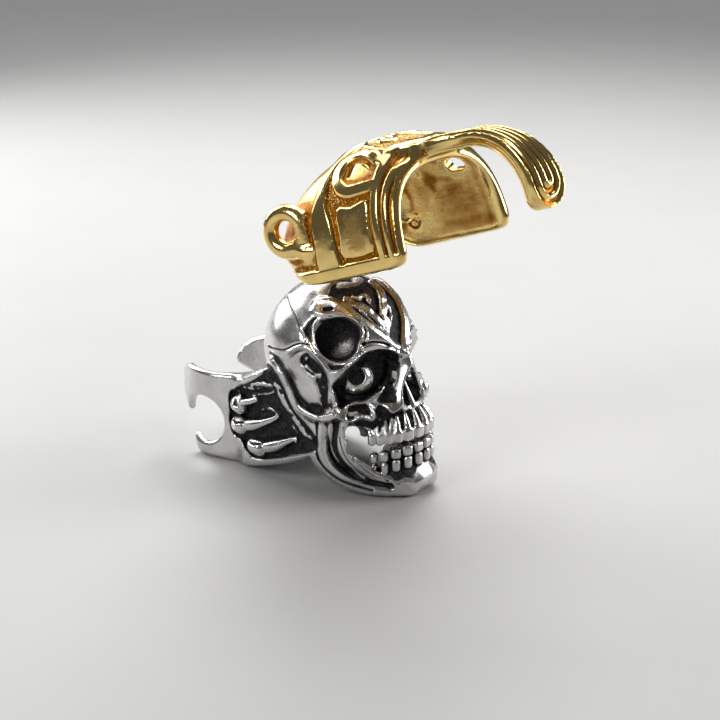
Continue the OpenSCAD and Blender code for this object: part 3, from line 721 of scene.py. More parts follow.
def draw_front(skin):
    """The brow, the sunk ground between its arms, the nose and the gums."""
    clay = skin.clay
    # The sunk ground between the two arms of the brow
    skin.area(((33.4, 0.4, 25.2), (32.4, 2.3, 27.2), (30.6, 3.9, 28.9), (28.6, 4.9, 30.5),
               (26.4, 5.2, 31.8), (23.0, 5.6, 32.8), (22.6, -1.0, 34.2), (33.6, -1.0, 25.2)),
              0.65, 0.5, CORE, oxide=1.0, rough=0.6, bumps=0.15, seed=9, room=5)
    # The broad arm of the brow, which spreads over the bowl, and the wedge under it
    skin.area(BROW_ARM, -0.35, 0.6, polish=1.0)
    skin.line(((34.0, 0.7, 23.9), (33.2, 1.8, 25.3), (32.2, 3.0, 26.6), (31.0, 4.1, 27.8),
               (29.6, 5.0, 29.1), (28.2, 5.5, 30.1), (26.6, 5.8, 31.1), (24.6, 6.2, 31.9),
               (22.6, 7.2, 31.8)), 0.4, 0.5, CORE, flat=0.2)
    skin.line(((30.9, 6.2, 25.9), (31.8, 5.4, 26.2), (32.6, 4.0, 25.9), (33.2, 2.6, 25.2)), -0.5,
              0.2, oxide=0.9)
    skin.line(((30.6, 6.6, 25.2), (31.9, 6.2, 25.2), (32.9, 5.0, 24.9), (33.5, 3.2, 24.4),
               (34.1, 1.4, 23.7), (34.4, 0.0, 23.2)), 0.5, 0.42, CORE)
    # The hole in the plate over the bowl
    skin.line(((24.0, 7.7, 30.7), (25.0, 7.2, 30.9)), -0.8, 0.3, oxide=1.0)
    # The nose's raised edge, its wings and the septum
    skin.line(((34.2, 0.0, 23.4), (34.9, 0.0, 22.4), (35.3, 0.2, 21.7)), 0.3, 0.4, CORE)
    skin.line(((35.4, 0.0, 21.9), (35.5, 0.8, 21.3), (35.6, 1.6, 20.0), (35.7, 2.3, 18.6),
               (35.8, 2.8, 17.2), (35.9, 3.0, 16.0), (36.0, 2.6, 15.0), (36.1, 1.4, 14.5),
               (36.1, 0.0, 14.4)), 0.4, 0.34, CORE)
    skin.line(((35.9, 3.0, 16.0), (35.7, 3.8, 15.2), (35.4, 4.6, 14.9)), 0.4, 0.34, CORE)
    clay.rope(((36.2, 0.0, 14.7, 0.55), (35.6, 0.0, 15.9, 0.45), (34.9, 0.0, 17.4, 0.28),
               (34.3, 0.0, 18.6, 0.2)), 0.2, polish=True)
    # The rough gums above the upper teeth
    skin.area(((35.0, 4.2, 14.4), (34.6, 5.2, 15.4), (33.2, 5.8, 15.6), (33.4, 7.0, 13.2),
               (33.0, 8.0, 11.6), (34.8, 6.2, 11.2), (36.4, 4.2, 11.8), (37.0, 2.2, 12.2),
               (37.3, -0.5, 12.4), (36.8, -0.5, 13.9), (35.9, 2.6, 13.8)), 0.35, 0.5, CORE,
              oxide=1.0, rough=0.8, bumps=0.2, seed=11)


def draw_jaw(skin):
    """The grooves and crests of the jaw's arm, and the ragged gum over the chin."""
    skin.area(((39.8, -0.5, 5.0), (39.4, 0.6, 5.2), (39.5, 1.6, 4.3), (38.9, 3.0, 3.2),
               (38.2, 4.2, 3.5), (37.4, 5.0, 3.0), (36.3, 5.4, 3.3), (35.2, 6.0, 4.4),
               (33.4, 6.8, 6.0), (33.4, 6.8, 8.6), (36.6, 5.2, 9.4), (39.0, -0.5, 9.6)),
              0.35, 0.35, CORE, oxide=1.0, rough=0.5, room=4)
    skin.line(((28.6, 10.6, 13.0), (28.1, 10.3, 9.9), (28.4, 10.2, 7.5), (29.6, 9.8, 5.7),
               (31.4, 8.6, 4.0), (33.6, 7.0, 2.7), (35.6, 5.2, 2.2)), -0.75, 0.62, oxide=1.0)
    skin.line(((30.0, 9.4, 12.0), (30.0, 9.9, 10.4), (30.7, 9.8, 8.2), (32.0, 8.7, 6.0),
               (33.8, 7.2, 4.2), (35.4, 5.6, 3.1)), -0.32, 0.2, oxide=1.0)
    skin.line(((25.0, 11.0, 12.6), (25.0, 11.1, 10.2), (24.8, 11.0, 7.6), (25.4, 10.7, 5.4),
               (27.0, 10.0, 3.6), (29.4, 8.8, 2.2), (33.0, 6.6, 1.1)), -0.35, 0.25, oxide=0.9)
    skin.line(((26.2, 10.2, 9.6), (26.3, 10.3, 7.2), (27.2, 10.1, 5.4), (28.4, 9.9, 4.4),
               (30.3, 9.3, 3.4), (32.5, 7.9, 2.5), (35.1, 5.6, 1.8)), 0.3, 0.22)
    skin.clay.rub(((30.8, 8.3, 4.6, 0.6), (31.6, 7.9, 3.8, 0.8), (32.4, 7.5, 3.2, 0.6)), 3)
    skin.clay.rub(((39.3, 0.0, 4.6, 0.8), (39.1, 1.6, 4.2, 0.9), (38.4, 3.2, 3.4, 0.9)), 3)


def draw_fingers(skin):
    """The recess in the shoulder and the three finger bones that grip the skull."""
    clay = skin.clay
    skin.area(FINGER_RECESS, 0.5, 0.5, oxide=1.0, rough=0.8, bumps=0.2, seed=13)
    skin.area(((4.9, 10, 11.5), (5.1, 9.7, 13.0), (8.5, 11, 14.6), (12.5, 12, 15.4),
               (17.0, 12, 17.0), (17.6, 12, 14.2), (19.6, 12, 11.8), (21.6, 12, 9.4),
               (20.8, 12, 6.6), (17.0, 12, 4.6), (12.6, 12, 3.3), (10.0, 11.4, 4.0),
               (8.4, 11, 5.2), (5.6, 9.7, 5.2), (4.9, 9.8, 7.4)), 0.6, 0.5, oxide=1.0)
    # The light, rough strip along the skull
    skin.area(((16.6, 11.9, 17.6), (18.2, 11.9, 17.2), (19.8, 11.8, 14.4), (22.2, 11.4, 11.4),
               (24.0, 11.0, 9.4), (22.6, 11.3, 9.6), (20.0, 11.6, 12.4), (18.2, 11.8, 14.6)),
              -0.35, 0.4, rough=1.0, bumps=0.3, seed=14, polish=0.35)
    # Each finger: its nail, its bone, the groove of its knuckle and the nail's crease
    for nail, bone, groove, crease in (
            (((7.3, 10.2, 11.2, 1.55), (8.1, 10.6, 11.2, 1.45)),
             ((7.9, 11.1, 11.7, 0.42), (9.2, 11.5, 12.3, 0.55), (11.0, 11.9, 13.0, 0.5),
              (12.8, 12.0, 13.8, 0.42)),
             ((9.3, 12.2, 12.2, 0.2), (9.6, 12.2, 11.2, 0.26), (9.4, 11.8, 10.2, 0.2)),
             ((7.4, 11.6, 12.5, 0.5), (7.5, 11.8, 11.9, 0.62), (8.4, 12.0, 11.6, 0.3))),
            (((7.5, 10.3, 7.6, 1.6), (8.5, 10.8, 7.8, 1.55)),
             ((10.5, 11.4, 8.5, 1.0), (12.1, 11.7, 9.1, 0.92), (13.9, 11.9, 9.9, 0.65),
              (16.2, 11.9, 11.1, 0.45), (17.4, 11.8, 12.0, 0.32)),
             ((9.5, 12.1, 9.9, 0.26), (10.1, 12.5, 8.7, 0.3), (10.3, 12.4, 7.2, 0.26)),
             ((6.6, 11.1, 8.6, 0.2), (7.8, 11.9, 8.4, 0.24), (9.2, 11.7, 8.8, 0.2))),
            (((11.9, 11.5, 5.2, 1.4), (13.2, 11.8, 5.3, 1.45)),
             ((15.2, 12.1, 6.0, 0.95), (16.9, 12.2, 6.7, 0.9), (18.8, 12.0, 7.7, 0.58),
              (20.6, 11.8, 8.7, 0.36)),
             ((14.3, 13.0, 7.1, 0.24), (14.7, 13.3, 6.0, 0.28), (14.9, 13.2, 4.6, 0.24)),
             ((11.3, 12.5, 6.0, 0.2), (12.7, 12.85, 6.05, 0.24), (13.8, 12.5, 6.4, 0.2)))):
        clay.rope(nail, 0.12, 3, polish=True)
        clay.rope(crease, 0.1, 3, cut=True, oxide=1.0)
        clay.rope(bone, 0.12, 4, polish=True)
        clay.rope(groove, 0.1, 3, cut=True, oxide=1.0)
    clay.rope(((10.2, 11.4, 11.5, 0.4), (11.6, 11.8, 12.1, 0.38), (13.4, 12.0, 13.0, 0.3)), 0.1,
              polish=True)
    for path in (((12.4, 12.4, 14.6), (14.0, 12.4, 15.2), (15.5, 12.2, 15.6), (16.6, 11.9, 16.2),
                  (15.6, 12.0, 17.0), (13.6, 11.9, 16.8), (11.8, 11.8, 16.2)),
                 ((13.8, 11.6, 12.2), (15.6, 11.6, 12.8), (16.8, 11.5, 12.2)),
                 ((21.1, 11.6, 9.1), (21.0, 11.7, 8.0), (19.4, 11.9, 6.4), (17.0, 12.0, 5.0)),
                 ((6.0, 10.0, 13.4), (7.6, 10.8, 14.0), (8.6, 11.2, 13.4))):
        skin.line(path, 0.42, 0.24)


def finish_ring(clay, sizes):
    """The finger's way and the plane on which the ring rests."""
    r = sizes.finger_radius / MM
    clay.take((-11, -1, -1), (13, 13, 35), lambda x, y, z: np.sqrt(x * x + y * y)
              - (r + np.clip((z - 16.2) * 0.1, 0, 1.3)), 0.35)
    clay.take((-11, -1, -1), (41, 13, 1), lambda x, y, z: z, 0.5)


def skull_ring_clay(sizes):
    """The whole silver casting: its masses first, then its lines, teeth and finger hole."""
    clay = Clay((-9.6, 0, -0.7), (40.6, 13.8, 35.2), sizes.detail / MM)
    clay.add((-11, -1, -1), (12.5, 13, 17), lambda x, y, z: turned_band(x, y, z, sizes), 0.2)
    clay.add((-2, -1, -1), (28, 13.8, 24), shoulder, 1.4)
    model_head(clay)
    open_mouth(clay)
    clay.settle()
    skin = Skin(clay)
    draw_side(skin)
    draw_fingers(skin)
    draw_jaw(skin)
    draw_front(skin)
    draw_eye(skin)
    model_teeth(clay)
    carve_iris(clay)
    finish_ring(clay, sizes)
    clay.unfold()
    draw_flames(Skin(clay, 2.3, ((22, -8, 25), (36, 8, 35))))
    return clay


def draw_flames(skin):
    """The flame on the forehead, which is not the same left and right."""
    for path, height, width, flat in (
            (((25.2, -3.4, 32.9), (27.5, -2.7, 32.1), (28.8, -1.6, 31.2), (30.1, -0.2, 30.1),
              (30.6, 0.6, 29.5), (31.3, 0.7, 28.5), (31.7, 1.8, 28.0), (32.3, 2.0, 27.3)),
             0.75, 0.26, 0.55),
            (((30.0, -1.4, 30.2), (30.8, -1.2, 29.2), (31.7, 0.3, 28.0), (32.4, 1.8, 27.2)),
             0.7, 0.2, 0.1),
            (((26.2, 4.6, 32.1), (27.5, 4.3, 31.5), (28.7, 3.5, 31.3), (29.6, 3.1, 30.6),
              (30.5, 2.5, 29.7), (31.3, 2.2, 28.8), (31.9, 1.9, 27.9)), 0.75, 0.26, 0.5),
            (((28.6, 4.2, 30.7), (29.6, 3.9, 29.9), (30.3, 3.6, 29.1), (31.2, 3.2, 28.0),
              (32.0, 2.5, 27.3)), 0.65, 0.2, 0.12),
            (((26.5, 3.4, 32.4), (27.2, 2.9, 32.2), (27.1, 2.0, 32.4), (27.6, 1.2, 32.2),
              (28.4, 1.4, 31.8)), 0.7, 0.26, 0.15)):
        skin.line([(x, -y, z) for x, y, z in path], height, width, CORE, flat=flat)


def carve_iris(clay):
    """The iris, a dark dish with faint rings, and round it the ball painted dark with a bright
    crescent, a painted highlight.
    """
    look = np.array((0.60, 0.69, 0.40))
    look /= np.sqrt(look @ look)
    side = np.array((0.75, -0.66, 0.0))
    down = np.cross(side, look)
    down *= -np.sign(down[2])
    ball = np.array(EYE_CENTRE)
    heart = ball + look * 3.05
    part, x, y, z = clay.window(heart - 3.6, heart + 3.6)
    away = [x - heart[0], y - heart[1], z - heart[2]]
    along = sum(a * k for a, k in zip(away, look))
    right = sum(a * k for a, k in zip(away, side))
    below = sum(a * k for a, k in zip(away, down))
    r = np.sqrt(np.maximum(sum(a * a for a in away) - along ** 2, 0))
    near = (np.abs(along) < 1.5) & (r < 3.3)
    dish = 0.5 * step_up((1.55 - r) / 0.4) - 0.1 * np.exp(-((r - 1.0) / 0.16) ** 2)
    dish -= 0.07 * np.exp(-((r - 0.45) / 0.15) ** 2)
    clay.d[part] += np.where(near, dish, 0)
    # Angles run from the right downwards
    turn = np.degrees(np.arctan2(below, right))
    lit = step_up((turn + 62) / 25) * step_up((150 - turn) / 30)
    lit *= step_up((r - 1.5) / 0.25) * step_up((3.0 - r) / 0.4)
    # The ball is painted dark, oxide with painted shade, except in the crescent, which is a painted
    # highlight
    on_ball = np.abs(from_point(x, y, z, ball) - EYE_RADIUS) < 0.7
    shade_to = np.where(on_ball, 1.15 - 1.15 * lit, clay.oxide[part])
    clay.oxide[part] = np.where(near, shade_to, clay.oxide[part])
    clay.rough[part] *= np.where(near, 1 - lit, 1)


# The helmet's own frame (along, sideways, up): its origin in the ring's frame, and its
# backward lean
HELMET_PLACE = (27.7, 0.0, 36.4)
LEAN_COS, LEAN_SIN = math.cos(math.radians(20)), math.sin(math.radians(20))
HELMET_HALF_WIDTH = 14.4
HELMET_HEIGHT = 19.3
# Where the front of the helmet is cut
HELMET_FRONT = 18.75
# The room that the cranium needs: its centre and radius, which way the helmet slides, how far
CRANIUM_CENTRE = (21.0, 0.0, 21.7)
CRANIUM_ROOM = 12.75
SLIDE_WAY = (0.4289, 0, 0.9033)
SLIDE_ROOM = 19.6
# The peak's path in the helmet's frame: (along, up, half thickness, half width)
PEAK = ((13.5, 16.6, 0.9, 8.2), (16.5, 16.3, 1.05, 6.6), (19.0, 16.1, 1.15, 4.7),
        (21.5, 16.1, 1.15, 3.2), (24.5, 15.9, 1.1, 2.5), (27.5, 15.6, 1.15, 2.6),
        (30.4, 14.6, 1.2, 3.0), (33.0, 12.7, 1.25, 3.5), (34.9, 9.8, 1.25, 3.9),
        (35.6, 6.6, 1.2, 4.1), (35.2, 3.2, 1.05, 4.0))


def helmet_size(u):
    """Half width and height of the helmet's outside at the distance u along it."""
    round_back = np.sqrt(np.maximum(HELMET_HALF_WIDTH ** 2 - (0.7 - u) ** 2, 0.6))
    half = np.where(u > 0.7, HELMET_HALF_WIDTH, round_back)
    long, power = np.where(u < 10, 24.5, 17.0), np.where(u < 10, 0.62, 0.72)
    top = HELMET_HEIGHT * np.maximum(1 - ((u - 10) / long) ** 2, 0.03) ** power
    return half, top


def helmet_shape(u, v, w):
    """The helmet's plain outside, an arch closed by a round back."""
    half, top = helmet_size(u)
    q = (np.abs(v / half) ** 2.7 + np.abs(np.maximum(w, 0) / top) ** 2.7) ** (1 / 2.7)
    return ((q - 1) * np.minimum(half, top)).astype(np.float32)


def peak_shape(u, v, w):
    """The peak, a fluted strap that leaves the crown and curls down, and its flutes' depth."""
    path = curve(PEAK, 5)
    length = np.concatenate([[0], np.cumsum(np.sqrt((np.diff(path[:, :2], axis=0) ** 2).sum(1)))])
    far = np.full(np.broadcast(u, w).shape, 99.0, np.float32)
    off, at, thick, half = (np.zeros_like(far) for _ in range(4))
    for i in range(len(path) - 1):
        a, b = path[i], path[i + 1]
        du, dw = b[0] - a[0], b[1] - a[1]
        t = ((u - a[0]) * du + (w - a[1]) * dw) / (du * du + dw * dw)
        t = np.clip(t, 0, 30 if i == len(path) - 2 else 1)
        here = np.sqrt((u - a[0] - t * du) ** 2 + (w - a[1] - t * dw) ** 2)
        closer = here < far
        far = np.where(closer, here, far)
        off = np.where(closer, here * np.sign((w - a[1]) * du - (u - a[0]) * dw), off)
        at = np.where(closer, length[i] + t * (length[i + 1] - length[i]), at)
        t = np.clip(t, 0, 1)
        thick = np.where(closer, a[2] + t * (b[2] - a[2]), thick)
        half = np.where(closer, a[3] + t * (b[3] - a[3]), half)
    # Nested flutes on the outer face, closed in a round at the tip
    over = np.maximum(at - (length[-1] - half), 0)
    across = np.sqrt(v ** 2 + over ** 2) * 3.5 / np.maximum(half, 2.2)
    flute = 0.36 * np.cos(2 * np.pi * across / 1.4) * step_up(off / 0.5) * step_up((at - 3) / 4)
    flute = flute * step_up((3.75 - across) / 0.4)
    corner = 2.1
    du, dv = at - length[-1] + corner, np.abs(v) - half + corner
    edge = np.sqrt(np.maximum(du, 0) ** 2 + np.maximum(dv, 0) ** 2)
    edge = edge + np.minimum(np.maximum(du, dv), 0) - corner
    return (meet(far - thick, edge, 1.3) + flute).astype(np.float32), flute


class HelmetSkin:
    """The points near the helmet's outside, by their distance along and angle up the arch."""

    def __init__(self, clay, outside, reach=2.0):
        self.clay = clay
        self.at = np.flatnonzero(np.abs(outside.ravel()) < reach)
        index = np.unravel_index(self.at, outside.shape)
        self.u, self.v, self.w = (axis[i] for axis, i in zip(clay.axes, index))
        self.angle = np.degrees(np.arctan2(self.w, np.abs(self.v)))
        self.arm = np.sqrt(self.v ** 2 + self.w ** 2)
        self.raised = np.zeros(len(self.at), np.float32)
        self.oxide = np.zeros(len(self.at), np.float32)
        self.rough = np.zeros(len(self.at), np.float32)

    def distance(self, path, pad):
        """Points near a path of (along, degrees up), and how far off it they are."""
        low_u, high_u = path[:, 0].min() - pad, path[:, 0].max() + pad
        spread = np.degrees(pad / 9.0)
        ok = (self.u > low_u) & (self.u < high_u)
        ok &= (self.angle > path[:, 1].min() - spread) & (self.angle < path[:, 1].max() + spread)
        picked = np.flatnonzero(ok)
        u = self.u[picked]
        s = np.radians(self.angle[picked]) * self.arm[picked]
        scale = math.radians(1) * self.arm[picked]
        best = np.full(len(picked), 999.0, np.float32)
        for a, b in zip(path, path[1:]):
            du = b[0] - a[0]
            a_s, ds = a[1] * scale, (b[1] - a[1]) * scale
            t = np.clip(((u - a[0]) * du + (s - a_s) * ds) / np.maximum(du * du + ds * ds, 1e-9),
                        0, 1)
            best = np.minimum(best, (u - a[0] - t * du) ** 2 + (s - a_s - t * ds) ** 2)
        return picked, np.sqrt(best)

    def line(self, path, height, width, oxide=0.0, rough=0.0, steps=4, flat=0.0):
        """Raise or cut a line; flat is the half width of its level crest."""
        p = curve(path, steps)
        picked, far = self.distance(p, width * 2.4 + flat)
        m = np.exp(-(np.maximum(far - flat, 0) / width) ** 2)
        self.lift(picked, height, m)
        if height > 0:
            self.polish(picked, np.clip(m * 1.6, 0, 1))
        self.stain(picked, oxide, rough, m)

    def lift(self, picked, height, m):
        """Raise the surface to a height, or cut it by a depth, as far as m is 1."""
        old = self.raised[picked]
        self.raised[picked] = np.maximum(old, height * m) if height > 0 else old + height * m

    def polish(self, picked, m):
        """Clean and smooth the surface as far as m is 1."""
        self.oxide[picked] *= 1 - m
        self.rough[picked] *= 1 - m

    def stain(self, picked, oxide, rough, m):
        """Darken and roughen the surface as far as m is 1."""
        self.oxide[picked] = np.maximum(self.oxide[picked], oxide * m)
        self.rough[picked] = np.maximum(self.rough[picked], rough * m)

    def area(self, outline, height, edge=0.5, oxide=0.0, rough=0.0, polish=False):
        """Raise or sink an area outlined by (along, degrees up)."""
        p = curve(outline, 3, True)
        picked, far = self.distance(p, edge + 0.2)
        inside = flat_distance(self.u[picked], self.angle[picked],
                               [tuple(q) for q in p]) < 0
        m = step_up(np.where(inside, far, -far) / edge + 0.5)
        self.lift(picked, height, m)
        if polish:
            self.polish(picked, m)
        self.stain(picked, oxide, rough, m)


def draw_helmet(skin):
    """The helmet's edge, straps, windows, ridges and scrolls."""
    u, w, angle = skin.u, skin.w, skin.angle
    every = slice(None)
    # Everything between the raised parts is sunk, dark and granular
    crown = step_up((angle - 40) / 3) * step_up((u - 4) / 1) * step_up((15.4 - u) / 0.6)
    skin.stain(every, 0.9, 1.0, crown)
    skin.raised -= 0.15 * crown
    back = step_up((2.4 - u) / 0.6) * step_up((w - 2.6) / 0.4) * step_up((62 - angle) / 12)
    skin.stain(every, 0.05, 0.3, back)
    # The thick edge, with grains along its top behind the strap
    edge = step_up((3.3 - w) / 0.9) * step_up((u + 12) / 4)
    skin.raised = np.maximum(skin.raised, 0.6 * edge)
    grains = np.exp(-((w - 3.35) / 0.35) ** 2) * step_up((2.4 - u) / 0.4) * step_up((u + 6) / 2)
    skin.stain(every, 1.0, 1.0, grains)
    # The strap from the edge up, which goes on as the crown's rear border
    skin.area(((2.3, 9.5), (6.6, 9.5), (6.5, 20), (6.3, 33), (5.5, 42), (4.9, 49), (3.6, 49),
               (2.6, 43), (2.1, 36), (2.4, 24)), 0.55, 0.6, polish=True)
    skin.line(((3.9, 43), (4.1, 48), (4.6, 53), (5.6, 61), (6.2, 69), (6.3, 78), (6.3, 90)),
              0.55, 0.42, flat=0.4)
    skin.line(((1.7, 12), (1.6, 24), (1.2, 34), (1.0, 42)), -0.35, 0.35, oxide=0.9, rough=0.9)
    # The channels round the strap, the window and the scroll
    for path, deep, width in ((((7.1, 12), (7.1, 24), (7.0, 36), (6.2, 44), (5.5, 49), (5.6, 54),
                                (6.5, 60)), -0.45, 0.36),
                              (((7.0, 43), (8.8, 41.2), (11.0, 41.6), (13.6, 43.2)), -0.5, 0.5),
                              (((7.2, 13.2), (10.5, 13.4), (13.4, 13.2)), -0.4, 0.3)):
        skin.line(path, deep, width, oxide=1.0, rough=1.0)
    skin.area(((7.6, 14.2), (13.5, 14.2), (13.8, 28), (13.8, 40.6), (10.5, 39.0), (7.7, 39.4),
               (7.6, 26)), 0.5, 0.8, polish=True)
    # The scroll: a thick curl round a sunk, dull floor
    skin.line(((14.6, 47.2), (12.2, 46.4), (10.0, 46.4), (8.3, 49.4), (7.5, 54.0), (7.5, 59.6),
               (8.6, 64.2), (10.6, 66.2), (12.6, 65.0), (14.6, 61.0)), 0.62, 0.4, flat=0.65)
    skin.area(((9.4, 50.4), (12.6, 50.4), (14.4, 51), (14.2, 57), (12.4, 60.8), (10.2, 61.4),
               (9.0, 57)), 0.05, 0.6, polish=True)
    skin.line(((9.6, 55.0), (10.3, 61.2), (12.4, 60.8), (14.0, 56.8)), -0.4, 0.26, oxide=1.0)
    skin.area(((9.9, 51.6), (12.4, 51.6), (13.9, 52), (13.5, 56), (11.6, 58.6), (10.0, 57)),
              -0.05, 0.5, rough=0.5)
    skin.line(((15.2, 66.6), (12.6, 69.6), (10.0, 74.0), (9.0, 80.0), (9.6, 85.6), (11.4, 87.0),
               (13.2, 84.4), (13.8, 79.6), (12.6, 76.6), (11.4, 78.6), (11.4, 81.4)), 0.5, 0.32,
              flat=0.2)
    skin.line(((7.2, 65.5), (8.5, 69.5), (8.1, 76.0), (7.9, 83), (7.9, 90)), 0.4, 0.28)
    # The ridges at the opening, which run on into the peak's flutes
    skin.area(((14.5, 10.5), (19.5, 10.5), (21.5, 90), (15.4, 90), (15.0, 60), (14.5, 30)),
              0.15, 0.5, polish=True)
    skin.line(((15.2, 11), (15.1, 30), (15.3, 44), (15.7, 58), (15.8, 68), (16.4, 79),
               (17.0, 90)), 0.6, 0.32, flat=0.5)
    skin.line(((16.15, 12), (16.1, 30), (16.3, 44), (16.8, 56), (17.2, 66)), -0.35, 0.16,
              oxide=0.6)
    skin.line(((16.9, 11), (16.85, 30), (17.1, 44), (17.9, 58), (19.0, 70), (20.5, 80)), 0.6,
              0.3, flat=0.35)
    skin.line(((17.7, 12), (17.65, 30), (17.8, 42), (18.5, 54)), -0.55, 0.2, oxide=0.95)
    skin.line(((17.4, 58), (18.4, 68), (19.8, 76)), -0.4, 0.26, oxide=0.9, rough=0.9)
    skin.line(((18.4, 9), (18.4, 30), (18.5, 60), (18.6, 90)), 0.65, 0.5)


def helmet_clay(sizes):
    """The whole gold casting: its arch and lines, its inside and front, and the cut rim."""
    clay = Clay((-14.2, 0, -0.8), (38.4, 16.8, 20.6), sizes.detail / MM)
    u, v, w = clay.window(*EVERYWHERE)[1:]
    plain = helmet_shape(u, v, w)
    slope = np.sqrt(sum(g * g for g in np.gradient(plain, clay.step)))
    plain = np.clip(plain / np.maximum(slope, 0.25), -4, 4)
    skin = HelmetSkin(clay, plain)
    draw_helmet(skin)
    outside = plain.copy()
    outside.ravel()[skin.at] -= skin.raised
    clay.oxide.ravel()[skin.at] = skin.oxide
    clay.rough.ravel()[skin.at] = skin.rough
    # Inside it is left as cast, dull above and smoother below; its colour turns darker amber
    # towards the rim
    inner = step_up((-plain - 0.75) / 0.2)
    high = np.clip((w - 2.5) / 5, 0.15, 1) * step_up((17.6 - u) / 0.5)
    low = 0.06 + 0.24 * np.clip((4.5 - w) / 3, 0, 1)
    clay.oxide += inner * (low * step_up((17.9 - u) / 0.5) - clay.oxide)
    clay.rough += inner * (high * 0.55 - clay.rough)
    # The front is cut to a rounded lip, and the peak leaves its top
    corner = meet(u - HELMET_FRONT, -w, 3.2)
    outside = meet(outside, corner, 1.5)
    peak, flute = peak_shape(u, v, w)
    outside = join(outside, peak, 1.5)
    clay.oxide = np.maximum(clay.oxide, 0.85 * step_up((flute - 0.12) / 0.2)
                            * step_up((1.2 - np.abs(peak)) / 0.3)).astype(np.float32)
    hollow = plain + sizes.helmet_wall / MM + 0.2 * step_up((u - 15.5) / 2.5)
    clay.d = meet(outside, -hollow, 1.1)
    # The rim: level at the sides, rising towards the nape
    clay.d = meet(clay.d, -w, 1.5)
    lean = math.radians(40)
    nape = (-w * math.cos(lean) - (u + 1.5) * math.sin(lean)).astype(np.float32)
    clay.d = meet(clay.d, nape, 2.0)
    clay.settle()
    finish_inside(clay)
    side_loop(clay)
    room_for_skull(clay)
    clay.unfold()
    # The hole in the crown's side, which only the far side has
    for off in (-0.8, 0.0, 0.8):
        clay.rope(((12.9 + off, 8.6, 11.6, 1.2), (13.4 + off, 13.0, 13.4, 1.2),
                   (13.9 + off, 17.0, 15.2, 1.2)), 0.3, cut=True, oxide=0.4)
    return clay


def finish_inside(clay):
    """The dimple with its peg inside each wall."""
    clay.rope(((0.8, 10.6, 4.9, 1.3), (0.8, 12.2, 4.9, 1.3)), 0.25, cut=True, oxide=1.0)
    clay.rope(((0.9, 13.4, 4.7, 0.6), (0.9, 12.2, 4.7, 0.55)), 0.15, polish=True)


def side_loop(clay):
    """The round loop on the helmet's side, and the arm in front of it."""
    points = []
    for k in range(25):
        a = math.radians(360 * k / 24)
        bar = 1.35 + 0.1 * math.sin(a + 2.2)
        points.append((-3.1 + 3.1 * math.cos(a), 13.5 - 0.45 * math.cos(a),
                       9.6 + 3.0 * math.sin(a), bar))
    path = np.array(points)
    clay.add((-10, 10, 3), (2, 17, 15), lambda x, y, z: chain(x, y, z, path), 0.8)
    clay.rope(((-2.6, 13.4, 6.7, 1.35), (-0.4, 13.6, 6.0, 1.2), (1.4, 13.4, 5.8, 0.9)), 0.5,
              polish=True)


def room_for_skull(clay):
    """The room that the cranium needs when the helmet slides down on it."""
    away = np.array(CRANIUM_CENTRE) - np.array(HELMET_PLACE)
    dome, slide = np.array(leant(*away)), np.array(leant(*SLIDE_WAY))
    tube = np.array([(*dome, CRANIUM_ROOM), (*(dome + slide * SLIDE_ROOM), CRANIUM_ROOM)])
    clay.take((-20, -1, -5), (40, 20, 25), lambda x, y, z: chain(x, y, z, tube), 0.3)


def leant(x, y, z):
    """A direction in the ring's frame, as seen in the helmet's own frame."""
    return LEAN_COS * x + LEAN_SIN * z, y, -LEAN_SIN * x + LEAN_COS * z


def helmet_to_ring(at):
    """From the helmet's own frame, in millimetres, to the ring's, in metres."""
    return np.stack([HELMET_PLACE[0] + LEAN_COS * at[0] - LEAN_SIN * at[2], at[1],
                     HELMET_PLACE[2] + LEAN_SIN * at[0] + LEAN_COS * at[2]]) * MM


def ring_to_helmet(at):
    """From the ring's frame, in metres, to the helmet's own, in millimetres."""
    return np.stack(leant(at[0] / MM - HELMET_PLACE[0], at[1] / MM,
                          at[2] / MM - HELMET_PLACE[2]))


class Nodes:
    """Short calls for building a node tree; in_NAME sets the input of that name or number."""

    def __init__(self, tree):
        self.tree = tree

    def add(self, kind, *links, **settings):
        node = self.tree.nodes.new(kind)
        for key, value in settings.items():
            if key.startswith("in_"):
                name = key[3:]
                node.inputs[int(name) if name.isdigit() else name].default_value = value
            else:
                setattr(node, key, value)
        for source, target in links:
            self.tree.links.new(source, node.inputs[target])
        return node

    def math(self, operation, a, b=None, c=None, clamp=False):
        node = self.tree.nodes.new("ShaderNodeMath")
        node.operation = operation
        node.use_clamp = clamp
        for k, value in enumerate((a, b, c)):
            if value is None:
                continue
            if isinstance(value, (int, float)):
                node.inputs[k].default_value = value
            else:
                self.tree.links.new(value, node.inputs[k])
        return node.outputs[0]

    def noise(self, coordinates, scale, detail=3.0, roughness=0.55):
        node = self.add("ShaderNodeTexNoise", (coordinates, "Vector"), in_Scale=scale,
                        in_Detail=detail, in_Roughness=roughness)
        return node.outputs["Fac"]

    def attribute(self, name):
        return self.add("ShaderNodeAttribute", attribute_name=name).outputs["Fac"]

    def span(self, value, low, high, to_low=0.0, to_high=1.0):
        node = self.tree.nodes.new("ShaderNodeMapRange")
        self.tree.links.new(value, node.inputs["Value"])
        for name, number in (("From Min", low), ("From Max", high), ("To Min", to_low),
                             ("To Max", to_high)):
            node.inputs[name].default_value = number
        return node.outputs["Result"]

    def ramp(self, value, stops):
        node = self.tree.nodes.new("ShaderNodeValToRGB")
        self.tree.links.new(value, node.inputs["Fac"])
        points = node.color_ramp.elements
        while len(points) < len(stops):
            points.new(0.5)
        for point, (place, colour) in zip(points, stops):
            point.position = place
            point.color = (*colour, 1)
        return node.outputs["Color"]


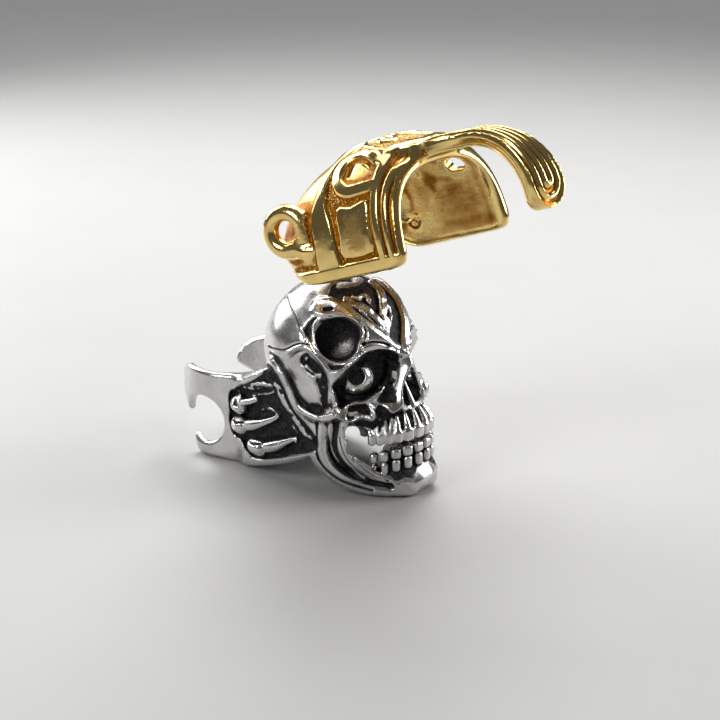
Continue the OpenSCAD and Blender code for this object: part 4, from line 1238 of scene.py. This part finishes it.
def cast_metal(name, polished, worn, recess, deep, satin, hollow_gain):
    """A cast metal: polished high places, oxide in the recesses with lighter specks painted as
    glints, pits and fine tool marks.
    """
    material = bpy.data.materials.new(name)
    material.use_nodes = True
    tree = material.node_tree
    tree.nodes.clear()
    n = Nodes(tree)
    place = n.add("ShaderNodeTexCoord").outputs["Object"]
    oxide, rough = n.attribute("oxide"), n.attribute("rough")
    fine, broad = n.attribute("fine_hollow"), n.attribute("broad_hollow")
    grit = n.noise(place, 2600, 4.0, 0.6)
    cloud = n.noise(place, 420, 3.0)
    # Oxide gathers in the recesses and is rubbed off the crests
    dark = n.math("MULTIPLY_ADD", fine, hollow_gain, oxide)
    dark = n.math("MULTIPLY_ADD", broad, hollow_gain * 0.8, dark)
    breakup = n.math("MULTIPLY_ADD", grit, 0.9, -0.45)
    breakup = n.math("MULTIPLY", breakup, n.span(rough, 0, 1, 0.25, 1.0))
    dark = n.math("ADD", dark, breakup)
    dark = n.math("MULTIPLY_ADD", cloud, 0.3, n.math("SUBTRACT", dark, 0.15))
    dark = n.span(dark, 0.28, 0.72)
    # Casting pits, sparse on polished metal and dense on rough metal
    cells = n.add("ShaderNodeTexVoronoi", (place, "Vector"), feature="F1", in_Scale=1500,
                  in_Randomness=1.0)
    spots = n.span(n.noise(place, 300, 2.0), 0.5, 0.68, 0.03, 0.26)
    spots = n.math("MULTIPLY_ADD", rough, 0.16, spots)
    pits = n.math("SUBTRACT", 1.0, n.math("DIVIDE", cells.outputs["Distance"], spots), clamp=True)
    pits = n.math("MULTIPLY", pits, n.span(rough, 0.0, 0.3, 0.25, 1.0))
    dark = n.math("MAXIMUM", dark, n.math("MULTIPLY", pits, 0.8))
    body = n.ramp(cloud, ((0.3, polished), (0.75, worn)))
    # With the grit the recesses run from the deep tone to a lighter one: the oxide's grain, whose
    # light specks on the silver are painted glints
    recess_tone_and_glints = n.ramp(grit, ((0.35, deep), (0.75, recess)))
    colour = n.add("ShaderNodeMix", data_type="RGBA")
    tree.links.new(dark, colour.inputs[0])
    tree.links.new(body, colour.inputs[6])
    tree.links.new(recess_tone_and_glints, colour.inputs[7])
    gloss = n.math("MULTIPLY_ADD", cloud, satin * 1.2, satin * 0.4)
    gloss = n.math("MULTIPLY_ADD", rough, 0.22, gloss)
    gloss = n.math("MULTIPLY_ADD", dark, 0.3, gloss)
    marks = n.noise(place, 9000, 2.0)
    height = n.math("MULTIPLY", marks, n.span(dark, 0, 1, 0.03, 0.5))
    height = n.math("MULTIPLY_ADD", grit, n.span(rough, 0, 1, 0.05, 1.6), height)
    height = n.math("SUBTRACT", height, n.math("MULTIPLY", pits, 1.2))
    height = n.math("MULTIPLY_ADD", n.noise(place, 260, 2.0), 0.5, height)
    bump = n.add("ShaderNodeBump", (height, "Height"), in_Strength=0.5, in_Distance=0.00012)
    shader = n.add("ShaderNodeBsdfPrincipled", (colour.outputs[2], "Base Color"),
                   (gloss, "Roughness"), (bump.outputs[0], "Normal"), in_Metallic=1.0)
    output = n.add("ShaderNodeOutputMaterial", (shader.outputs[0], "Surface"))
    output.is_active_output = True
    return material


# Grains on a square metre of rough, dark channel
GRAIN_DENSITY = 7.0e6


def grain_tree(material):
    """Scatter small grains of metal over the rough, dark channels of a casting."""
    tree = bpy.data.node_groups.new("Channel Grains", "GeometryNodeTree")
    tree.is_modifier = True
    face = tree.interface
    face.new_socket("Geometry", in_out="INPUT", socket_type="NodeSocketGeometry")
    face.new_socket("Geometry", in_out="OUTPUT", socket_type="NodeSocketGeometry")
    for label, value in (("Grain Radius", 0.00016), ("Density", GRAIN_DENSITY)):
        socket = face.new_socket(label, in_out="INPUT", socket_type="NodeSocketFloat")
        socket.default_value = value
    n = Nodes(tree)
    source = n.add("NodeGroupInput")
    rough = n.add("GeometryNodeInputNamedAttribute", data_type="FLOAT", in_Name="rough")
    oxide = n.add("GeometryNodeInputNamedAttribute", data_type="FLOAT", in_Name="oxide")
    both = n.math("MULTIPLY", rough.outputs[0], oxide.outputs[0])
    where = n.math("GREATER_THAN", both, 0.55)
    scatter = n.add("GeometryNodeDistributePointsOnFaces", (source.outputs["Geometry"], "Mesh"),
                    distribute_method="RANDOM", in_Seed=7)
    tree.links.new(where, scatter.inputs["Selection"])
    tree.links.new(source.outputs["Density"], scatter.inputs["Density"])
    ball = n.add("GeometryNodeMeshIcoSphere", in_Subdivisions=1)
    tree.links.new(source.outputs["Grain Radius"], ball.inputs["Radius"])
    size = n.add("FunctionNodeRandomValue", data_type="FLOAT")
    for label, value in (("Min", 0.5), ("Max", 1.25), ("Seed", 4)):
        size.inputs[label].default_value = value
    put = n.add("GeometryNodeInstanceOnPoints", (scatter.outputs["Points"], "Points"),
                (ball.outputs["Mesh"], "Instance"), (scatter.outputs["Rotation"], "Rotation"),
                (size.outputs[1], "Scale"))
    real = n.add("GeometryNodeRealizeInstances", (put.outputs["Instances"], "Geometry"))
    smooth = n.add("GeometryNodeSetShadeSmooth", (real.outputs["Geometry"], "Geometry"))
    paint = n.add("GeometryNodeSetMaterial", (smooth.outputs["Geometry"], "Geometry"),
                  in_Material=material)
    n.add("NodeGroupOutput", (paint.outputs["Geometry"], "Geometry"))
    return tree


def add_grains(piece, material, radius):
    """Make the grains of a casting and join them to it."""
    tree = grain_tree(material)
    made = piece.modifiers.new("Channel Grains", "NODES")
    made.node_group = tree
    names = {item.name: item.identifier for item in tree.interface.items_tree
             if item.in_out == "INPUT"}
    made[names["Grain Radius"]] = radius
    bpy.context.view_layer.update()
    grains = bpy.data.meshes.new_from_object(piece.evaluated_get(
        bpy.context.evaluated_depsgraph_get()))
    piece.modifiers.remove(made)
    if len(grains.polygons) == 0:
        raise RuntimeError("no grains were made on " + piece.name)
    for label, value in (("oxide", 0.45), ("rough", 0.0), ("fine_hollow", -0.1),
                         ("broad_hollow", 0.1)):
        old = grains.attributes.get(label)
        if old is not None:
            grains.attributes.remove(old)
        values = np.full(len(grains.vertices), value, np.float32)
        grains.attributes.new(label, "FLOAT", "POINT").data.foreach_set("value", values)
    loose = new_object(piece.name + "_grains", grains)
    with bpy.context.temp_override(active_object=piece, selected_editable_objects=[piece, loose],
                                   object=piece):
        bpy.ops.object.join()


def dress(piece, material):
    """Give a piece one material."""
    piece.data.materials.clear()
    piece.data.materials.append(material)


class SkullRingSizes(bpy.types.PropertyGroup):
    """Sizes of the two castings."""
    finger_radius: FloatProperty(name="Finger Radius", description="Radius of the finger hole",
                                 default=0.0096, min=0.008, max=0.011, subtype="DISTANCE",
                                 unit="LENGTH", precision=4)
    band_wall: FloatProperty(name="Band Wall", description="Thickness of the band",
                             default=0.0015, min=0.001, max=0.0025, subtype="DISTANCE",
                             unit="LENGTH", precision=4)
    helmet_wall: FloatProperty(name="Helmet Wall", description="Thickness of the helmet",
                               default=0.0014, min=0.001, max=0.002, subtype="DISTANCE",
                               unit="LENGTH", precision=4)
    detail: FloatProperty(name="Detail", description="Distance between the sculpt's points",
                          default=0.00017, min=0.0001, max=0.0006, subtype="DISTANCE",
                          unit="LENGTH", precision=5)
    ring_faces: IntProperty(name="Ring Faces", description="Most triangles on the skull ring",
                            default=190000, min=20000, max=198000)
    helmet_faces: IntProperty(name="Helmet Faces", description="Most triangles on the helmet",
                              default=150000, min=20000, max=198000)
    grain_radius: FloatProperty(name="Grain Radius", description="Radius of a channel grain",
                                default=0.00016, min=0.00005, max=0.0004, subtype="DISTANCE",
                                unit="LENGTH", precision=5)


class SkullRingColours(bpy.types.PropertyGroup):
    """Colours of the metals and the studio."""
    silver: FloatVectorProperty(name="Silver", description="Polished silver", size=3,
                                default=(0.70, 0.69, 0.675), subtype="COLOR", min=0, max=1)
    oxide: FloatVectorProperty(name="Silver Oxide", description="Black in the silver's recesses",
                               size=3, default=(0.03, 0.03, 0.032), subtype="COLOR", min=0,
                               max=1)
    gold: FloatVectorProperty(name="Gold", description="Polished gold plate", size=3,
                              default=(1.0, 0.73, 0.27), subtype="COLOR", min=0, max=1)
    amber: FloatVectorProperty(name="Gold Recess", description="Lacquer in the gold's recesses",
                               size=3, default=(0.40, 0.15, 0.008), subtype="COLOR", min=0,
                               max=1)
    floor: FloatVectorProperty(name="Floor", description="The studio floor", size=3,
                               default=(0.38, 0.377, 0.373), subtype="COLOR", min=0, max=1)


def scaled(colour, factor=1.0):
    """A colour made darker or lighter."""
    return tuple(min(c * factor, 1) for c in colour)


class SKULLRING_OT_ring(bpy.types.Operator):
    """Cast the silver ring: its open band, shoulders, skull, teeth and jaw"""
    bl_idname = "skull_ring.cast_ring"
    bl_label = "Cast Skull Ring"

    def execute(self, context):
        sizes, colours = context.scene.skull_ring_sizes, context.scene.skull_ring_colours
        # The silver's recess colour, three times the oxide, gives the light specks that are painted
        # glints
        silver = cast_metal("Silver", scaled(colours.silver), scaled(colours.silver, 0.86),
                            scaled(colours.oxide, 3.0), scaled(colours.oxide, 0.5), 0.25, 1.0)
        clay = skull_ring_clay(sizes)
        piece = cast(clay, "skull_ring_casting", lambda at: at * MM, sizes.ring_faces)
        outward(piece.data)
        shade(piece, clay, lambda at: at / MM)
        dress(piece, silver)
        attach(piece, "ring")
        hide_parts("skull_ring")
        return {"FINISHED"}


class SKULLRING_OT_helmet(bpy.types.Operator):
    """Cast the gold helmet: its shell, straps, scrolls, side loops and fluted peak"""
    bl_idname = "skull_ring.cast_helmet"
    bl_label = "Cast Helmet"

    def execute(self, context):
        sizes, colours = context.scene.skull_ring_sizes, context.scene.skull_ring_colours
        gold = cast_metal("Gold", scaled(colours.gold), scaled(colours.gold, 0.84),
                          scaled(colours.amber, 1.6), scaled(colours.amber, 0.35), 0.14, 0.9)
        clay = helmet_clay(sizes)
        piece = cast(clay, "helmet_casting", helmet_to_ring, sizes.helmet_faces)
        outward(piece.data)
        shade(piece, clay, ring_to_helmet)
        dress(piece, gold)
        add_grains(piece, gold, sizes.grain_radius)
        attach(piece, "helmet")
        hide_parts("helmet")
        return {"FINISHED"}


class SKULLRING_OT_stage(bpy.types.Operator):
    """Lay a pale studio floor, hang soft lights and set the camera"""
    bl_idname = "skull_ring.set_stage"
    bl_label = "Set Stage"

    def execute(self, context):
        scene = context.scene
        lay_floor(scaled(scene.skull_ring_colours.floor))
        hang_lights(scene)
        set_camera(scene)
        return {"FINISHED"}


def lay_floor(colour):
    """A wide pale floor at the height the ring rests on."""
    size = 4.0
    mesh = bpy.data.meshes.new("studio_floor")
    mesh.from_pydata([(-size, -size, 0), (size, -size, 0), (size, size, 0), (-size, size, 0)], [],
                     [(0, 1, 2, 3)])
    floor = new_object("studio_floor", mesh)
    material = bpy.data.materials.new("Pale Floor")
    material.use_nodes = True
    n = Nodes(material.node_tree)
    shader = material.node_tree.nodes["Principled BSDF"]
    place = n.add("ShaderNodeTexCoord").outputs["Object"]
    tint = n.ramp(n.noise(place, 40, 3.0), ((0.3, scaled(colour, 0.97)), (0.7, colour)))
    material.node_tree.links.new(tint, shader.inputs["Base Color"])
    bump = n.add("ShaderNodeBump", (n.noise(place, 2500, 2.0), "Height"), in_Strength=0.15,
                 in_Distance=0.0001)
    material.node_tree.links.new(bump.outputs[0], shader.inputs["Normal"])
    shader.inputs["Roughness"].default_value = 0.6
    floor.data.materials.append(material)


# Each light: name, place, side in metres, watts
SOFTBOXES = (("key_softbox", (-0.10, 0.24, 0.30), 0.22, 1.7),
             ("left_softbox", (-0.30, 0.03, 0.17), 0.22, 1.4),
             ("front_softbox", (-0.05, -0.34, 0.24), 0.14, 1.0),
             ("right_softbox", (0.25, 0.25, 0.16), 0.16, 1.4),
             ("high_softbox", (-0.45, 0.65, 1.10), 1.2, 14.0))


def hang_lights(scene):
    """Soft boxes behind and beside the ring, in front of it and high up, and a dim even room."""
    target = Vector((0.024, 0.0, 0.028))
    for name, place, size, power in SOFTBOXES:
        light = bpy.data.lights.new(name, "AREA")
        light.shape = "SQUARE"
        light.size = size
        light.energy = power
        lamp = new_object(name, light)
        lamp.location = place
        lamp.rotation_euler = (target - Vector(place)).to_track_quat("-Z", "Y").to_euler()
    world = bpy.data.worlds.new("Studio Room")
    world.use_nodes = True
    room = world.node_tree.nodes["Background"].inputs
    room["Color"].default_value = (0.13, 0.13, 0.134, 1)
    room["Strength"].default_value = 1.0
    scene.world = world
    scene.view_settings.view_transform = "Standard"
    scene.view_settings.exposure = -0.5


def set_camera(scene):
    """The camera at the photograph's angle."""
    azimuth, elevation, distance = math.radians(38), math.radians(20), 0.26
    target = Vector((0.0241, 0.00142, 0.0195))
    back = Vector((math.sin(azimuth) * math.cos(elevation),
                   -math.cos(azimuth) * math.cos(elevation), math.sin(elevation)))
    data = bpy.data.cameras.new("studio_camera")
    data.lens = 78
    data.sensor_width = 36
    data.clip_start = 0.01
    data.clip_end = 10
    camera = new_object("studio_camera", data)
    camera.location = target + back * distance
    camera.rotation_euler = (-back).to_track_quat("-Z", "Y").to_euler()
    scene.camera = camera


class SKULLRING_PT_panel(bpy.types.Panel):
    """Sizes, colours and steps of the skull ring"""
    bl_idname = "SKULLRING_PT_panel"
    bl_label = "Skull Ring"
    bl_space_type = "VIEW_3D"
    bl_region_type = "UI"
    bl_category = "Skull Ring"

    def draw(self, context):
        layout = self.layout
        sizes, colours = context.scene.skull_ring_sizes, context.scene.skull_ring_colours
        for group in (sizes, colours):
            column = layout.column(align=True)
            for name in group.bl_rna.properties.keys():
                if name not in {"rna_type", "name"}:
                    column.prop(group, name)
        column = layout.column()
        for operator in OPERATORS:
            column.operator(operator.bl_idname)


OPERATORS = (SKULLRING_OT_ring, SKULLRING_OT_helmet, SKULLRING_OT_stage)
CLASSES = (SkullRingSizes, SkullRingColours, *OPERATORS, SKULLRING_PT_panel)


def register():
    for cls in CLASSES:
        bpy.utils.register_class(cls)
    bpy.types.Scene.skull_ring_sizes = PointerProperty(type=SkullRingSizes)
    bpy.types.Scene.skull_ring_colours = PointerProperty(type=SkullRingColours)


def unregister():
    del bpy.types.Scene.skull_ring_colours
    del bpy.types.Scene.skull_ring_sizes
    for cls in reversed(CLASSES):
        bpy.utils.unregister_class(cls)


def main():
    register()
    bpy.ops.skull_ring.cast_ring()
    bpy.ops.skull_ring.cast_helmet()
    bpy.ops.skull_ring.set_stage()
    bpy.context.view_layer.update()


if __name__ == "__main__":
    main()
